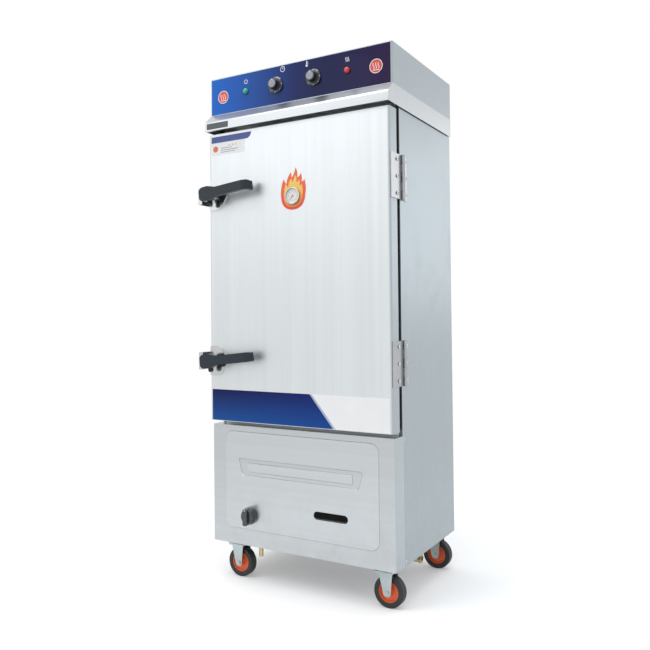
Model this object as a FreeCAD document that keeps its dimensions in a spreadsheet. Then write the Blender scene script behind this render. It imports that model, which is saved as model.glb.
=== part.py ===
import FreeCAD, Part
import math
import operator
import os

import Sketcher

# Rice steamer cabinet: a gas and electric steam cabinet on four swivel casters.
# X runs to the right seen from the front, Y to the back and Z up, in millimetres.
# The part's origin is on the floor below the middle of its box. The pieces are drawn in the
# cabinet's own places: x from its middle, y from the front of the lower panel, z from its underside.

doc = FreeCAD.newDocument("rice_steamer_cabinet")
sheet = doc.addObject("Spreadsheet::Sheet", "Sizes")

# Driving sizes: alias, value and what it measures. Millimetres, degrees or a count.
DRIVING_SIZES = [
    ("body_height", 1492, "underside to the top of the roof cap"),
    ("control_height", 130, "control box above the roof cap"),
    ("cap_overhang", 5, "roof cap and control box outside each side panel"),
    ("sheet", 1.2, "outer sheet steel"),
    ("thin_sheet", 1, "inner sheet steel"),
    ("fit_gap", 0.3, "between pieces that seat beside each other"),
    ("shaft_gap", 0.05, "round a turning shaft, on the radius"),
    ("fold_radius", 3, "outside of a folded sheet corner"),
    ("panel_step", 57, "body front behind the lower panel's front"),
    ("lower_height", 405, "top of the lower panel"),
    ("side_fold", 12, "front edge of a side panel folded inwards"),
    ("rear_fold", 20, "rear edge of a side panel folded inwards"),
    ("rear_reach", 30, "steam vent and water inlet behind the rear panel"),
    ("caster_height", 125, "floor to the cabinet's underside"),
    ("wall", 40, "insulated wall of the chamber"),
    ("chamber_floor", 440, "top of the water tank's rim"),
    ("chamber_sill", 450, "lower edge of the chamber's opening"),
    ("chamber_top", 1390, "upper edge of the chamber's opening"),
    ("frame_rise", 30, "height of the base frame's edge"),
    ("frame_flange", 40, "width of the base frame's foot"),
    ("frame_steel", 3, "thickness of the frame's angle steel"),
    ("gusset_side", 112, "corner plate over a caster"),
    ("post_side", 25, "leg of a corner post's angle"),
    ("bearer_width", 24, "bearer bar under the burner"),
    ("bearer_height", 15, "bearer bar under the burner"),
    ("bearer_front_y", 150, "front bearer bar"),
    ("bearer_rear", 115, "rear bearer bar from the rear panel's back"),
    ("cap_drop", 62, "roof cap's side below its top"),
    ("eave_reach", 33, "eave in front of the control panel"),
    ("eave_band", 31, "upright band along the eave"),
    ("eave_lip", 9, "return under the eave"),
    ("eave_bend", 12, "bend between the eave's band and slope"),
    ("control_corner", 6, "rounded front corners of the control box"),
    ("film_thickness", 0.8, "printed film on the control box"),
    ("film_side", 6, "bare edge beside the film"),
    ("film_top", 3, "bare edge above the film"),
    ("film_bottom", 2, "bare edge below the film"),
    ("dial_rise", 65, "knobs and lamps above the roof cap"),
    ("knob_offset", 74, "timer and thermostat knobs from the middle"),
    ("lamp_offset", 199, "lamps from the middle"),
    ("lamp_radius", 10, "lamp lens"),
    ("lamp_reach", 10, "lamp lens in front of the film"),
    ("lamp_neck", 7, "radius of a lamp's body in its hole"),
    ("dial_radius", 27.5, "skirt of a timer or thermostat knob"),
    ("dial_skirt", 5, "thickness of the skirt"),
    ("dial_grip", 18, "radius of the knob's grip"),
    ("dial_reach", 26, "knob in front of the film"),
    ("flute_count", 14, "flutes round the knob's grip"),
    ("flute_radius", 2.2, "flutes round the knob's grip"),
    ("stem_radius", 3, "spindle of a timer, thermostat or gas tap"),
    ("switch_side", 46, "timer and thermostat case"),
    ("switch_depth", 42, "timer and thermostat case"),
    ("door_bottom", 420, "lower edge of the door"),
    ("door_top", 1420, "upper edge of the door"),
    ("door_proud", 15, "door's face in front of the lower panel"),
    ("door_thickness", 50, "door without its gasket"),
    ("door_edge", 8, "rounded upright edges of the door"),
    ("gasket_width", 20, "door gasket"),
    ("gasket_inset", 9, "door gasket from the door's edge"),
    ("hinge_reach", 7, "hinge pin outside the side panel"),
    ("hinge_back", 11, "hinge pin behind the body's front"),
    ("hinge_upper", 1210, "middle of the upper hinge"),
    ("hinge_lower", 630, "middle of the lower hinge"),
    ("knuckle_height", 28, "one of five hinge knuckles"),
    ("knuckle_radius", 6.5, "hinge knuckle"),
    ("hinge_pin", 3, "radius of the hinge pin"),
    ("leaf", 3, "thickness of a hinge leaf"),
    ("door_leaf", 80, "door leaf's front edge to the hinge pin"),
    ("body_leaf", 34, "body leaf's rear edge to the hinge pin"),
    ("hinge_screw_pitch", 53, "between hinge screws"),
    ("door_screw_back", 38, "door leaf's screws to the hinge pin"),
    ("body_screw_back", 24, "body leaf's screws to the hinge pin"),
    ("screw_radius", 2.5, "shank of a sheet screw"),
    ("screw_head", 5, "radius of a screw's head"),
    ("screw_rise", 3, "height of a domed head"),
    ("screw_length", 9, "shank under the head"),
    ("latch_side", 20, "latch spindle from the door's edge"),
    ("latch_upper", 1203, "upper latch spindle"),
    ("latch_lower", 627, "lower latch spindle"),
    ("latch_tilt", 6, "lever's rise at rest, in degrees"),
    ("lever_reach", 185, "spindle to the end of the lever"),
    ("lever_height", 32, "height of the lever's arm"),
    ("lever_stand", 58, "lever's front face from the door"),
    ("lever_thickness", 14, "arm, front to back"),
    ("lever_curl", 38, "front face to the end of the curled tip"),
    ("lever_bend", 28, "outside bend of the curled tip"),
    ("lever_hub", 25, "radius of the lever's hub"),
    ("lever_hub_depth", 22, "hub, front to back"),
    ("spindle_radius", 7, "latch spindle"),
    ("tongue_thickness", 7, "latch tongue"),
    ("tongue_width", 18, "latch tongue"),
    ("tongue_reach", 38, "spindle to the tongue's tip"),
    ("tongue_back", 23, "tongue from the door's face"),
    ("plate_thickness", 4, "latch base plate"),
    ("plate_height", 102, "latch base plate"),
    ("plate_left", 17, "base plate left of the spindle"),
    ("plate_right", 61, "base plate right of the spindle"),
    ("boss_radius", 15, "spindle's boss on the base plate"),
    ("boss_reach", 21, "spindle's boss from the door's face"),
    ("boss_lean", 4, "draft of the spindle's boss, in degrees"),
    ("keeper_sheet", 2.5, "keeper's steel"),
    ("keeper_height", 60, "keeper"),
    ("keeper_out", 23, "inside of the keeper's web from the side panel"),
    ("keeper_lip", 16, "lip that the tongue turns in behind"),
    ("keeper_foot", 50, "keeper's foot along the side panel"),
    ("keeper_gap", 1, "between the keeper's lip and the tongue"),
    ("gauge_height", 1174, "door thermometer"),
    ("gauge_radius", 27.5, "thermometer's bezel"),
    ("gauge_reach", 8, "bezel from the door's face"),
    ("gauge_stem", 4, "radius of the thermometer's probe"),
    ("gauge_probe", 25, "probe into the chamber behind the door"),
    ("raised_side", 55, "pressed field from the lower panel's side edges"),
    ("raised_bottom", 55, "lower edge of the pressed field"),
    ("raised_top", 386, "upper edge of the pressed field"),
    ("raised_corner", 30, "corners of the pressed field"),
    ("press_depth", 2.5, "height of the pressed forms"),
    ("press_slope", 40, "slope of the pressed edges, in degrees"),
    ("recess_top_half", 241, "half width of the recess, at its top"),
    ("recess_bottom_half", 226, "half width of the recess, at its bottom"),
    ("recess_bottom", 237, "lower edge of the recess"),
    ("recess_top", 294.5, "upper edge of the recess"),
    ("recess_corner", 12, "corners of the recess"),
    ("rib_margin", 13, "pressed rib from the recess's edge, upright"),
    ("rib_end", 23, "pressed rib from the recess's ends"),
    ("window_x", 123.4, "lighting window from the middle"),
    ("window_height", 138.5, "lighting window above the underside"),
    ("window_length", 126, "lighting window"),
    ("window_width", 26, "lighting window"),
    ("gas_x", -191, "gas tap from the middle"),
    ("gas_height", 104, "gas tap above the underside"),
    ("tap_side", 34, "gas tap's body"),
    ("tap_back", 78, "back of the gas tap"),
    ("gas_knob_radius", 29, "gas knob's skirt"),
    ("gas_knob_skirt", 9, "thickness of the gas knob's skirt"),
    ("gas_knob_reach", 36, "gas knob in front of the panel"),
    ("gas_bar_length", 55, "gas knob's grip bar"),
    ("gas_bar_width", 17, "gas knob's grip bar"),
    ("gas_pipe", 7.5, "outside radius of the gas pipe"),
    ("gas_pipe_wall", 1.5, "wall of the gas pipe"),
    ("gas_inlet_y", 60, "gas inlet behind the lower panel's front"),
    ("gas_inlet_drop", 50, "gas inlet below the underside"),
    ("burner_half", 212, "half length of the burner's manifold"),
    ("burner_depth", 34, "burner's manifold, front to back"),
    ("burner_front", 130, "front of the burner's manifold"),
    ("burner_bar", 13, "radius of a burner bar"),
    ("burner_bar_length", 235, "burner bar behind the manifold"),
    ("burner_bar_pitch", 75, "between burner bars"),
    ("burner_bar_count", 5, "burner bars"),
    ("port_width", 4, "flame slots across a burner bar"),
    ("port_pitch", 21, "between flame slots"),
    ("port_count", 10, "flame slots on a burner bar"),
    ("tank_side", 50, "tank's wall inside the side panel"),
    ("tank_front", 70, "tank's front wall"),
    ("tank_back", 49, "tank's rear wall from the rear panel's back"),
    ("tank_depth", 180, "tank"),
    ("tank_rim", 45, "width of the tank's rim beyond its wall"),
    ("plate_hole", 9, "radius of a hole in the steam plate"),
    ("plate_hole_pitch", 60, "between holes in the steam plate"),
    ("plate_hole_columns", 9, "holes across the steam plate"),
    ("plate_hole_rows", 6, "holes from front to back"),
    ("heater_radius", 6, "heating tube"),
    ("heater_bend", 40, "heating tube's bend, to its middle"),
    ("heater_height", 330, "heating tubes above the underside"),
    ("heater_front", 150, "where a heating tube's bend starts"),
    ("heater_end", 20, "end of a heating tube in front of the rear panel's back"),
    ("heater_pitch", 160, "between heating tubes"),
    ("nut_radius", 12, "across a nut's corners, halved"),
    ("nut_height", 6, "nuts on the heating tubes and pipes"),
    ("ledge_first", 468, "lowest tray ledge"),
    ("ledge_pitch", 75, "between tray ledges"),
    ("ledge_count", 12, "tray ledges on each side"),
    ("ledge_width", 24, "tray ledge"),
    ("ledge_edge", 12, "upright leg of a tray ledge"),
    ("ledge_steel", 1.5, "tray ledge"),
    ("ledge_length", 380, "tray ledge, front to back"),
    ("post_width", 20, "rack's upright"),
    ("tray_width", 600, "tray over its rim"),
    ("tray_length", 400, "tray, front to back"),
    ("tray_height", 48, "tray"),
    ("tray_taper", 6, "how far a tray's side leans in"),
    ("tray_rim", 7, "flat rim round a tray"),
    ("tray_room", 6.7, "between a tray and the ledge's upright leg"),
    ("tray_gap", 1.5, "in front of a tray and behind it"),
    ("tray_corner", 25, "tray's corners"),
    ("tray_wall", 1, "tray's sheet"),
    ("tray_first", 2, "ledges below the lowest tray's"),
    ("tray_step", 4, "ledges from one tray to the next"),
    ("tray_count", 3, "trays in the racks"),
    ("vent_x", -200, "steam vent from the middle"),
    ("vent_height", 1340, "steam vent above the underside"),
    ("vent_radius", 16, "steam vent's pipe"),
    ("pipe_wall", 2, "wall of the steam and water pipes"),
    ("vent_flange", 28, "radius of the steam vent's flange"),
    ("inlet_x", 200, "water inlet from the middle"),
    ("inlet_height", 395, "water inlet above the underside"),
    ("water_pipe", 10.5, "radius of the water and drain pipes"),
    ("drain_x", 205, "drain in the tank's floor, from the middle"),
    ("drain_y", 300, "drain in the tank's floor"),
    ("drain_bend", 20, "bend of the drain pipe"),
    ("tap_x", 252, "where the drain tap starts, from the middle"),
    ("tap_bore", 8, "radius of the drain tap's bore"),
    ("tap_length", 55, "drain tap"),
    ("tap_drop", 50, "drain tap's middle below the underside"),
    ("tap_radius", 13.5, "drain tap's barrel"),
    ("tap_stem", 27.5, "drain tap's stem from its start"),
    ("tap_lever_length", 90, "drain tap's lever from its stem"),
    ("tap_lever_width", 18, "drain tap's lever"),
    ("tap_lever_thickness", 5, "drain tap's lever"),
    ("louvre_width", 140, "air slot in the rear panel"),
    ("louvre_height", 8, "air slot in the rear panel"),
    ("louvre_pitch", 24, "between air slots"),
    ("louvre_rows", 8, "rows of air slots"),
    ("louvre_bottom", 60, "lowest air slot"),
    ("louvre_spread", 210, "between columns of air slots"),
    ("caster_inset", 66, "caster's swivel from the side panel"),
    ("caster_setback", 50, "caster's swivel from the front and the back"),
    ("caster_trail", 21, "wheel's axle from the swivel"),
    ("wheel_radius", 50, "tyre"),
    ("tyre_width", 30, "tyre"),
    ("tyre_shoulder", 4, "rounded edges of the tyre"),
    ("hub_radius", 33, "wheel's hub, where the tyre seats"),
    ("hub_boss", 12, "wheel's hub round its axle"),
    ("hub_web", 8, "wheel's web"),
    ("axle_radius", 4, "axle bolt"),
    ("fork_gap", 21, "inside of a fork leg from the wheel's middle"),
    ("fork_steel", 3, "fork's steel"),
    ("fork_foot", 9.5, "rounded end of a fork leg"),
    ("fork_front", 8, "fork leg's top in front of the swivel"),
    ("fork_back", 38, "fork leg's top behind the swivel"),
    ("plate_steel", 3, "caster's top plate"),
    ("plate_x", 92, "caster's top plate"),
    ("plate_y", 82, "caster's top plate"),
    ("race_radius", 26, "caster's ball race"),
    ("race_height", 9, "caster's ball race"),
    ("kingpin_radius", 6, "caster's swivel pin"),
    ("crown_height", 6, "fork's crown under the ball race"),
]


class Size:
    """A size: its value now, and the sheet formula that gives it."""

    def __init__(self, value, formula):
        self.value = value
        self.formula = formula

    def __add__(self, other):
        return combined(self, "+", other)

    def __radd__(self, other):
        return combined(other, "+", self)

    def __sub__(self, other):
        return combined(self, "-", other)

    def __rsub__(self, other):
        return combined(other, "-", self)

    def __mul__(self, other):
        return combined(self, "*", other)

    def __rmul__(self, other):
        return combined(other, "*", self)

    def __truediv__(self, other):
        return combined(self, "/", other)

    def __neg__(self):
        return combined(0, "-", self)


OPERATIONS = {"+": operator.add, "-": operator.sub, "*": operator.mul, "/": operator.truediv}


def as_size(item):
    """Let a plain number stand beside sizes in a formula."""
    if isinstance(item, Size):
        return item
    return Size(float(item), repr(item))


def combined(left, sign, right):
    first = as_size(left)
    second = as_size(right)
    value = OPERATIONS[sign](first.value, second.value)
    return Size(value, "(%s %s %s)" % (first.formula, sign, second.formula))


class Sizes:
    """The sheet's sizes by name."""


size = Sizes()
for row, (alias, number, meaning) in enumerate(DRIVING_SIZES, start=1):
    sheet.set("A%d" % row, alias)
    sheet.set("B%d" % row, str(number))
    sheet.set("C%d" % row, meaning)
    sheet.setAlias("B%d" % row, alias)
    setattr(size, alias, Size(float(number), "Sizes." + alias))
doc.recompute()

PLANES = {"XY": ("XY_Plane", 1), "XZ": ("XZ_Plane", -1), "YZ": ("YZ_Plane", 1)}
AXES = {"X": "X_Axis", "Y": "Y_Axis", "Z": "Z_Axis"}


def bind(item, path, length):
    """Tie a property to the sheet, unless it is a plain number."""
    if "Sizes." in as_size(length).formula:
        item.setExpression(path, as_size(length).formula)


def origin_part(body, role):
    return [part for part in body.Origin.OriginFeatures if part.Role == role][0]


class Drawing:
    """A sketch on a plane of its own body, every point of it held by sizes."""

    def __init__(self, body, plane, at):
        role, sense = PLANES[plane]
        self.plane = plane
        self.sketch = body.newObject("Sketcher::SketchObject", "Sketch")
        self.sketch.AttachmentSupport = [(origin_part(body, role), "")]
        self.sketch.MapMode = "FlatFace"
        offset = as_size(at) * sense
        self.sketch.AttachmentOffset = FreeCAD.Placement(
            FreeCAD.Vector(0, 0, offset.value), FreeCAD.Rotation())
        bind(self.sketch, "AttachmentOffset.Base.z", offset)

    def hold(self, kind, places, length):
        index = self.sketch.addConstraint(
            Sketcher.Constraint(kind, *places, as_size(length).value))
        bind(self.sketch, "Constraints[%d]" % index, length)

    def locate(self, shape, point, x, y):
        """Hold one point of the sketch at x and y from its origin."""
        self.hold("DistanceX", (-1, 1, shape, point), x)
        self.hold("DistanceY", (-1, 1, shape, point), y)

    def circle(self, x, y, radius):
        centre = FreeCAD.Vector(as_size(x).value, as_size(y).value, 0)
        axis = FreeCAD.Vector(0, 0, 1)
        index = self.sketch.addGeometry(Part.Circle(centre, axis, as_size(radius).value))
        self.locate(index, 3, x, y)
        self.hold("Radius", (index,), radius)
        return self

    def slot(self, x, y, length, height):
        """A level slot with round ends."""
        reach = (length - height) / 2
        rise = height / 2
        corners = [(x - reach, y - rise), (x + reach, y - rise),
                   (x + reach, y + rise), (x - reach, y + rise)]
        spots = [FreeCAD.Vector(as_size(a).value, as_size(b).value, 0) for a, b in corners]
        bottom = self.sketch.addGeometry(Part.LineSegment(spots[0], spots[1]))
        top = self.sketch.addGeometry(Part.LineSegment(spots[2], spots[3]))
        for line, point, corner in ((bottom, 1, 0), (bottom, 2, 1), (top, 1, 2), (top, 2, 3)):
            self.locate(line, point, *corners[corner])
        for centre_x, start, end, turn in (
                (x + reach, (bottom, 2), (top, 1), -math.pi / 2),
                (x - reach, (top, 2), (bottom, 1), math.pi / 2)):
            centre = FreeCAD.Vector(as_size(centre_x).value, as_size(y).value, 0)
            rim = Part.Circle(centre, FreeCAD.Vector(0, 0, 1), as_size(rise).value)
            arc = self.sketch.addGeometry(Part.ArcOfCircle(rim, turn, turn + math.pi))
            self.sketch.addConstraint(Sketcher.Constraint("Coincident", arc, 1, *start))
            self.sketch.addConstraint(Sketcher.Constraint("Coincident", arc, 2, *end))
            self.hold("DistanceX", (-1, 1, arc, 3), centre_x)
        return self

    def rectangle(self, x0, y0, x1, y1, radius=None):
        corners = [(x0, y0), (x1, y0), (x1, y1), (x0, y1)]
        if radius is not None:
            corners = [corner + (radius,) for corner in corners]
        return self.polygon(corners)

    def polygon(self, corners):
        """A closed outline through corners (x, y), each one rounded where it has a radius."""
        spots = [FreeCAD.Vector(as_size(c[0]).value, as_size(c[1]).value, 0) for c in corners]
        count = len(corners)
        ends = []
        for number, corner in enumerate(corners):
            ends.append(rounding(spots[number - 1], spots[number], spots[(number + 1) % count], corner))
        lines = []
        for number in range(count):
            start = ends[number]["leave"]
            finish = ends[(number + 1) % count]["arrive"]
            lines.append(self.sketch.addGeometry(Part.LineSegment(start, finish)))
        for number, corner in enumerate(corners):
            before = lines[number - 1]
            after = lines[number]
            if len(corner) == 2:
                self.sketch.addConstraint(Sketcher.Constraint("Coincident", before, 2, after, 1))
                self.locate(after, 1, corner[0], corner[1])
                continue
            arc = self.sketch.addGeometry(ends[number]["arc"])
            first, last = ends[number]["points"]
            sharp = self.sketch.addGeometry(Part.Point(spots[number]), True)
            self.locate(sharp, 1, corner[0], corner[1])
            self.sketch.addConstraint(Sketcher.Constraint("PointOnObject", sharp, 1, before))
            self.sketch.addConstraint(Sketcher.Constraint("PointOnObject", sharp, 1, after))
            self.sketch.addConstraint(Sketcher.Constraint("Tangent", before, 2, arc, first))
            self.sketch.addConstraint(Sketcher.Constraint("Tangent", arc, last, after, 1))
            self.hold("Radius", (arc,), corner[2])
        return self


def rounding(before, spot, after, corner):
    """Where an outline arrives at a corner and leaves it, and the arc between."""
    if len(corner) == 2:
        return {"arrive": spot, "leave": spot}
    radius = as_size(corner[2]).value
    back = (before - spot).normalize()
    ahead = (after - spot).normalize()
    half_angle = back.getAngle(ahead) / 2
    arrive = spot + back * (radius / math.tan(half_angle))
    leave = spot + ahead * (radius / math.tan(half_angle))
    centre = spot + (back + ahead).normalize() * (radius / math.sin(half_angle))
    turns_left = back.cross(ahead).z < 0
    start, end = (arrive, leave) if turns_left else (leave, arrive)
    first = math.atan2(start.y - centre.y, start.x - centre.x)
    last = math.atan2(end.y - centre.y, end.x - centre.x)
    if last < first:
        last += 2 * math.pi
    rim = Part.Circle(centre, FreeCAD.Vector(0, 0, 1), radius)
    return {"arrive": arrive, "leave": leave, "arc": Part.ArcOfCircle(rim, first, last),
            "points": (1, 2) if turns_left else (2, 1)}


body_front = size.panel_step
half_width = size.tray_width / 2 + size.tray_room + size.frame_steel + size.fit_gap + size.wall
cabinet_depth = body_front + size.tray_length + size.tray_gap * 2 + size.wall
panel_front = (size.lever_stand + size.door_proud - cabinet_depth - size.rear_reach) / 2
nodes = {}


class Piece:
    """A body at x, y and z in the cabinet's own places, with the features that shape it."""

    def __init__(self, label, x=0, y=0, z=0, tilt=None):
        self.body = doc.addObject("PartDesign::Body", label)
        self.body.Label = label
        spot = [as_size(x), panel_front + y, size.caster_height + z]
        turn = FreeCAD.Rotation()
        if tilt is not None:
            turn = FreeCAD.Rotation(FreeCAD.Vector(0, 1, 0), -tilt.value)
        self.body.Placement = FreeCAD.Placement(FreeCAD.Vector(*[s.value for s in spot]), turn)
        for name, length in zip("xyz", spot):
            bind(self.body, "Placement.Base." + name, length)
        if tilt is not None:
            self.body.setExpression("Placement.Rotation.Angle", (-tilt).formula)
        nodes[label] = self.body

    def draw(self, plane, at=0):
        return Drawing(self.body, plane, at)

    def feature(self, kind, label):
        return self.body.newObject("PartDesign::" + kind, label)

    def extrude(self, kind, label, drawing, length, taper, both):
        feature = self.feature(kind, label)
        feature.Profile = drawing.sketch
        feature.Length = as_size(length).value
        bind(feature, "Length", length)
        feature.Reversed = (drawing.plane == "XZ") == (kind == "Pad")
        if taper is not None:
            feature.TaperAngle = -taper.value
            bind(feature, "TaperAngle", -taper)
        if both:
            feature.SideType = "Symmetric"
        return feature

    def pad(self, label, drawing, length, taper=None, both=False):
        """Steel added from the drawing towards the end of its axis, or to both sides."""
        return self.extrude("Pad", label, drawing, length, taper, both)

    def cut(self, label, drawing, length, taper=None, both=False):
        """Steel cut away from the drawing towards the end of its axis, or to both sides."""
        return self.extrude("Pocket", label, drawing, length, taper, both)

    def pad_down(self, label, drawing, length, taper=None):
        """Steel added from the drawing towards the start of its axis."""
        feature = self.pad(label, drawing, length, taper)
        feature.Reversed = not feature.Reversed
        return feature

    def turned(self, label, drawing, kind="Revolution", axis="H_Axis"):
        feature = self.feature(kind, label)
        feature.Profile = drawing.sketch
        feature.ReferenceAxis = (drawing.sketch, [axis])
        feature.Angle = 360
        return feature

    def repeat(self, label, features, axis, step, count):
        """The features again along an axis, every step."""
        feature = self.feature("LinearPattern", label)
        feature.Originals = features
        feature.Direction = (origin_part(self.body, AXES[axis]), [""])
        feature.Mode = "Spacing"
        feature.Offset = as_size(step).value
        bind(feature, "Offset", step)
        feature.Occurrences = int(as_size(count).value)
        bind(feature, "Occurrences", count)
        self.body.Tip = feature
        return feature

    def around(self, label, features, axis, count):
        feature = self.feature("PolarPattern", label)
        feature.Originals = features
        feature.Axis = (origin_part(self.body, AXES[axis]), [""])
        feature.Angle = 360
        feature.Occurrences = int(as_size(count).value)
        bind(feature, "Occurrences", count)
        self.body.Tip = feature
        return feature

    def soften(self, label, radius, chosen):
        """Round those edges of the piece so far that the test picks."""
        doc.recompute()
        base = self.body.Tip
        edges = ["Edge%d" % number for number, edge in enumerate(base.Shape.Edges, start=1)
                 if chosen(edge)]
        feature = self.feature("Fillet", label)
        feature.Base = (base, edges)
        feature.Radius = as_size(radius).value
        bind(feature, "Radius", radius)
        return feature


def grouped(label, pieces):
    """Several solids that share one node, each still a solid of its own."""
    group = doc.addObject("Part::Compound", label)
    group.Label = label
    group.Links = [piece.body for piece in pieces]
    for piece in pieces:
        del nodes[piece.body.Label]
    nodes[label] = group
    return group


def symmetric(drawing, half, y0, y1, radius=None):
    """A rectangle as wide to the left of the middle as to the right."""
    return drawing.rectangle(-half, y0, half, y1, radius)


inside = half_width - size.sheet - size.fit_gap
rear_inside = cabinet_depth - size.sheet * 2 - size.fit_gap
frame_front = size.sheet + size.fit_gap
cap_under = size.body_height - size.sheet
chamber_half = half_width - size.wall
chamber_back = cabinet_depth - size.wall
rim_under = size.chamber_floor - size.sheet
bearer_rear_y = cabinet_depth - size.bearer_rear
swivel_x = half_width - size.caster_inset
swivel_ys = {"front": size.caster_setback, "rear": cabinet_depth - size.caster_setback}
post_front = body_front + size.sheet + size.fit_gap + size.frame_steel
screw_hole = size.screw_radius + size.fit_gap


def base_frame():
    """A ring of angle steel with a corner plate over each caster, four posts and two bearers."""
    frame = Piece("base_frame")
    foot = frame.draw("XY")
    symmetric(foot, inside, frame_front, rear_inside)
    symmetric(foot, inside - size.frame_flange, frame_front + size.frame_flange,
              rear_inside - size.frame_flange)
    frame.pad("foot", foot, size.frame_steel)
    edge = frame.draw("XY")
    symmetric(edge, inside, frame_front, rear_inside)
    symmetric(edge, inside - size.frame_steel, frame_front + size.frame_steel,
              rear_inside - size.frame_steel)
    frame.pad("upright edge", edge, size.frame_rise)
    reach = size.gusset_side
    for x0, x1 in ((-inside, reach - inside), (inside - reach, inside)):
        for y0, y1 in ((frame_front, frame_front + reach), (rear_inside - reach, rear_inside)):
            plate = frame.draw("XY").rectangle(x0, y0, x1, y1)
            frame.pad("corner plate", plate, size.frame_steel)
    leg = size.post_side
    steel = size.frame_steel
    for side in (-1, 1):
        outer = inside * side
        inner = outer - leg * side
        web = outer - steel * side
        for corner, arm in ((post_front, 1), (rear_inside - steel, -1)):
            angle = frame.draw("XY").polygon([
                (outer, corner), (inner, corner), (inner, corner + steel * arm),
                (web, corner + steel * arm), (web, corner + leg * arm), (outer, corner + leg * arm)])
            frame.pad("corner post", angle, rim_under)
    bearer_top = size.gas_height - size.burner_depth / 2
    for middle in (size.bearer_front_y, bearer_rear_y):
        bar = frame.draw("XY", bearer_top - size.bearer_height)
        symmetric(bar, inside, middle - size.bearer_width / 2, middle + size.bearer_width / 2)
        frame.pad("bearer", bar, size.bearer_height)
    for side in (-1, 1):
        wall = inside * side
        hanger = frame.draw("XY", steel / 2)
        hanger.rectangle(wall, size.bearer_front_y - size.bearer_width,
                         wall - steel * side, bearer_rear_y + size.bearer_width)
        frame.pad("bearer hanger", hanger, bearer_top - steel / 2)
    holes = frame.draw("YZ", -inside)
    for z in skirt_screw_zs:
        holes.circle(skirt_screw_y, z, screw_hole)
    frame.cut("screw holes", holes, inside * 2)
    return frame


def side_panel(label, side):
    """A side sheet with its front and rear edges folded inwards."""
    panel = Piece(label)
    outer = half_width * side
    skin = outer - size.sheet * side
    back = cabinet_depth - size.sheet
    profile = panel.draw("XY").polygon([
        (outer, body_front, size.fold_radius),
        (outer, back),
        (outer - size.rear_fold * side, back),
        (outer - size.rear_fold * side, back - size.sheet),
        (skin, back - size.sheet),
        (skin, body_front + size.sheet),
        (outer - size.side_fold * side, body_front + size.sheet),
        (outer - size.side_fold * side, body_front)])
    panel.pad("folded side", profile, cap_under)
    notch = panel.draw("XY").rectangle(outer - size.side_fold * side, body_front,
                                       skin, body_front + size.sheet)
    panel.cut("room for the base frame", notch, size.frame_rise + size.fit_gap)
    holes = panel.draw("YZ", outer - size.sheet * (1 + side))
    for y, z in side_screws(side):
        holes.circle(y, z, screw_hole)
    panel.cut("screw holes", holes, size.sheet * 2)
    return panel


def hinge_screws(middle):
    """Heights of the three screws in each leaf of a hinge."""
    return [middle - size.hinge_screw_pitch, middle, middle + size.hinge_screw_pitch]


hinge_x = half_width + size.hinge_reach
hinge_y = body_front + size.hinge_back
hinge_middles = (size.hinge_upper, size.hinge_lower)
latch_middles = (size.latch_upper, size.latch_lower)
keeper_screw_y = body_front + size.keeper_foot / 2 + 6
skirt_screw_y = post_front + size.post_side / 2
latch_x = size.latch_side - half_width
skirt_screw_zs = (size.frame_rise / 2, size.lower_height - size.side_fold)


def side_screws(side):
    """Where screws pass through a side panel: y and z."""
    spots = [(skirt_screw_y, z) for z in skirt_screw_zs]
    if side > 0:
        for middle in hinge_middles:
            spots += [(hinge_y + size.body_screw_back, z) for z in hinge_screws(middle)]
    else:
        for middle in latch_middles:
            spots += [(keeper_screw_y, middle + rise) for rise in (-size.keeper_height / 4,
                                                                   size.keeper_height / 4)]
    return spots


def rear_panel():
    """The back sheet with louvre slots for the burner's air and holes for the pipes."""
    panel = Piece("rear_panel")
    back = cabinet_depth - size.sheet
    outline = panel.draw("XZ", back)
    symmetric(outline, half_width, 0, cap_under)
    panel.pad("sheet", outline, size.sheet)
    for column in (-1, 0, 1):
        slot = panel.draw("XZ", back)
        slot.slot(size.louvre_spread * column, size.louvre_bottom, size.louvre_width, size.louvre_height)
        row = panel.cut("air slot", slot, size.sheet)
        panel.repeat("air slots", [row], "Z", size.louvre_pitch, size.louvre_rows)
    pipes = panel.draw("XZ", back)
    pipes.circle(size.vent_x, size.vent_height, size.vent_radius + size.fit_gap)
    pipes.circle(size.inlet_x, size.inlet_height, size.water_pipe + size.fit_gap)
    panel.cut("pipe holes", pipes, size.sheet)
    return panel


def roof_cap():
    """One folded cover over the body whose front slopes out into an eave."""
    cap = Piece("roof_cap")
    wide = half_width + size.cap_overhang
    low = size.body_height - size.cap_drop
    band_top = low + size.eave_band
    reach = -size.eave_reach

    def profile(at, shrink):
        return cap.draw("YZ", at).polygon([
            (reach + shrink, low),
            (reach + shrink, band_top - shrink / 3, size.eave_bend - shrink),
            (shrink / 3, size.body_height - shrink),
            (cabinet_depth, size.body_height - shrink),
            (cabinet_depth, low)])

    cap.pad("cover", profile(-wide, as_size(0)), wide * 2)
    cap.cut("hollow", profile(size.sheet - wide, size.sheet), (wide - size.sheet) * 2)
    lip = cap.draw("XY", low)
    symmetric(lip, wide - size.sheet, reach + size.sheet, reach + size.eave_lip)
    cap.pad("lip", lip, size.sheet)
    return cap


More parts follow.
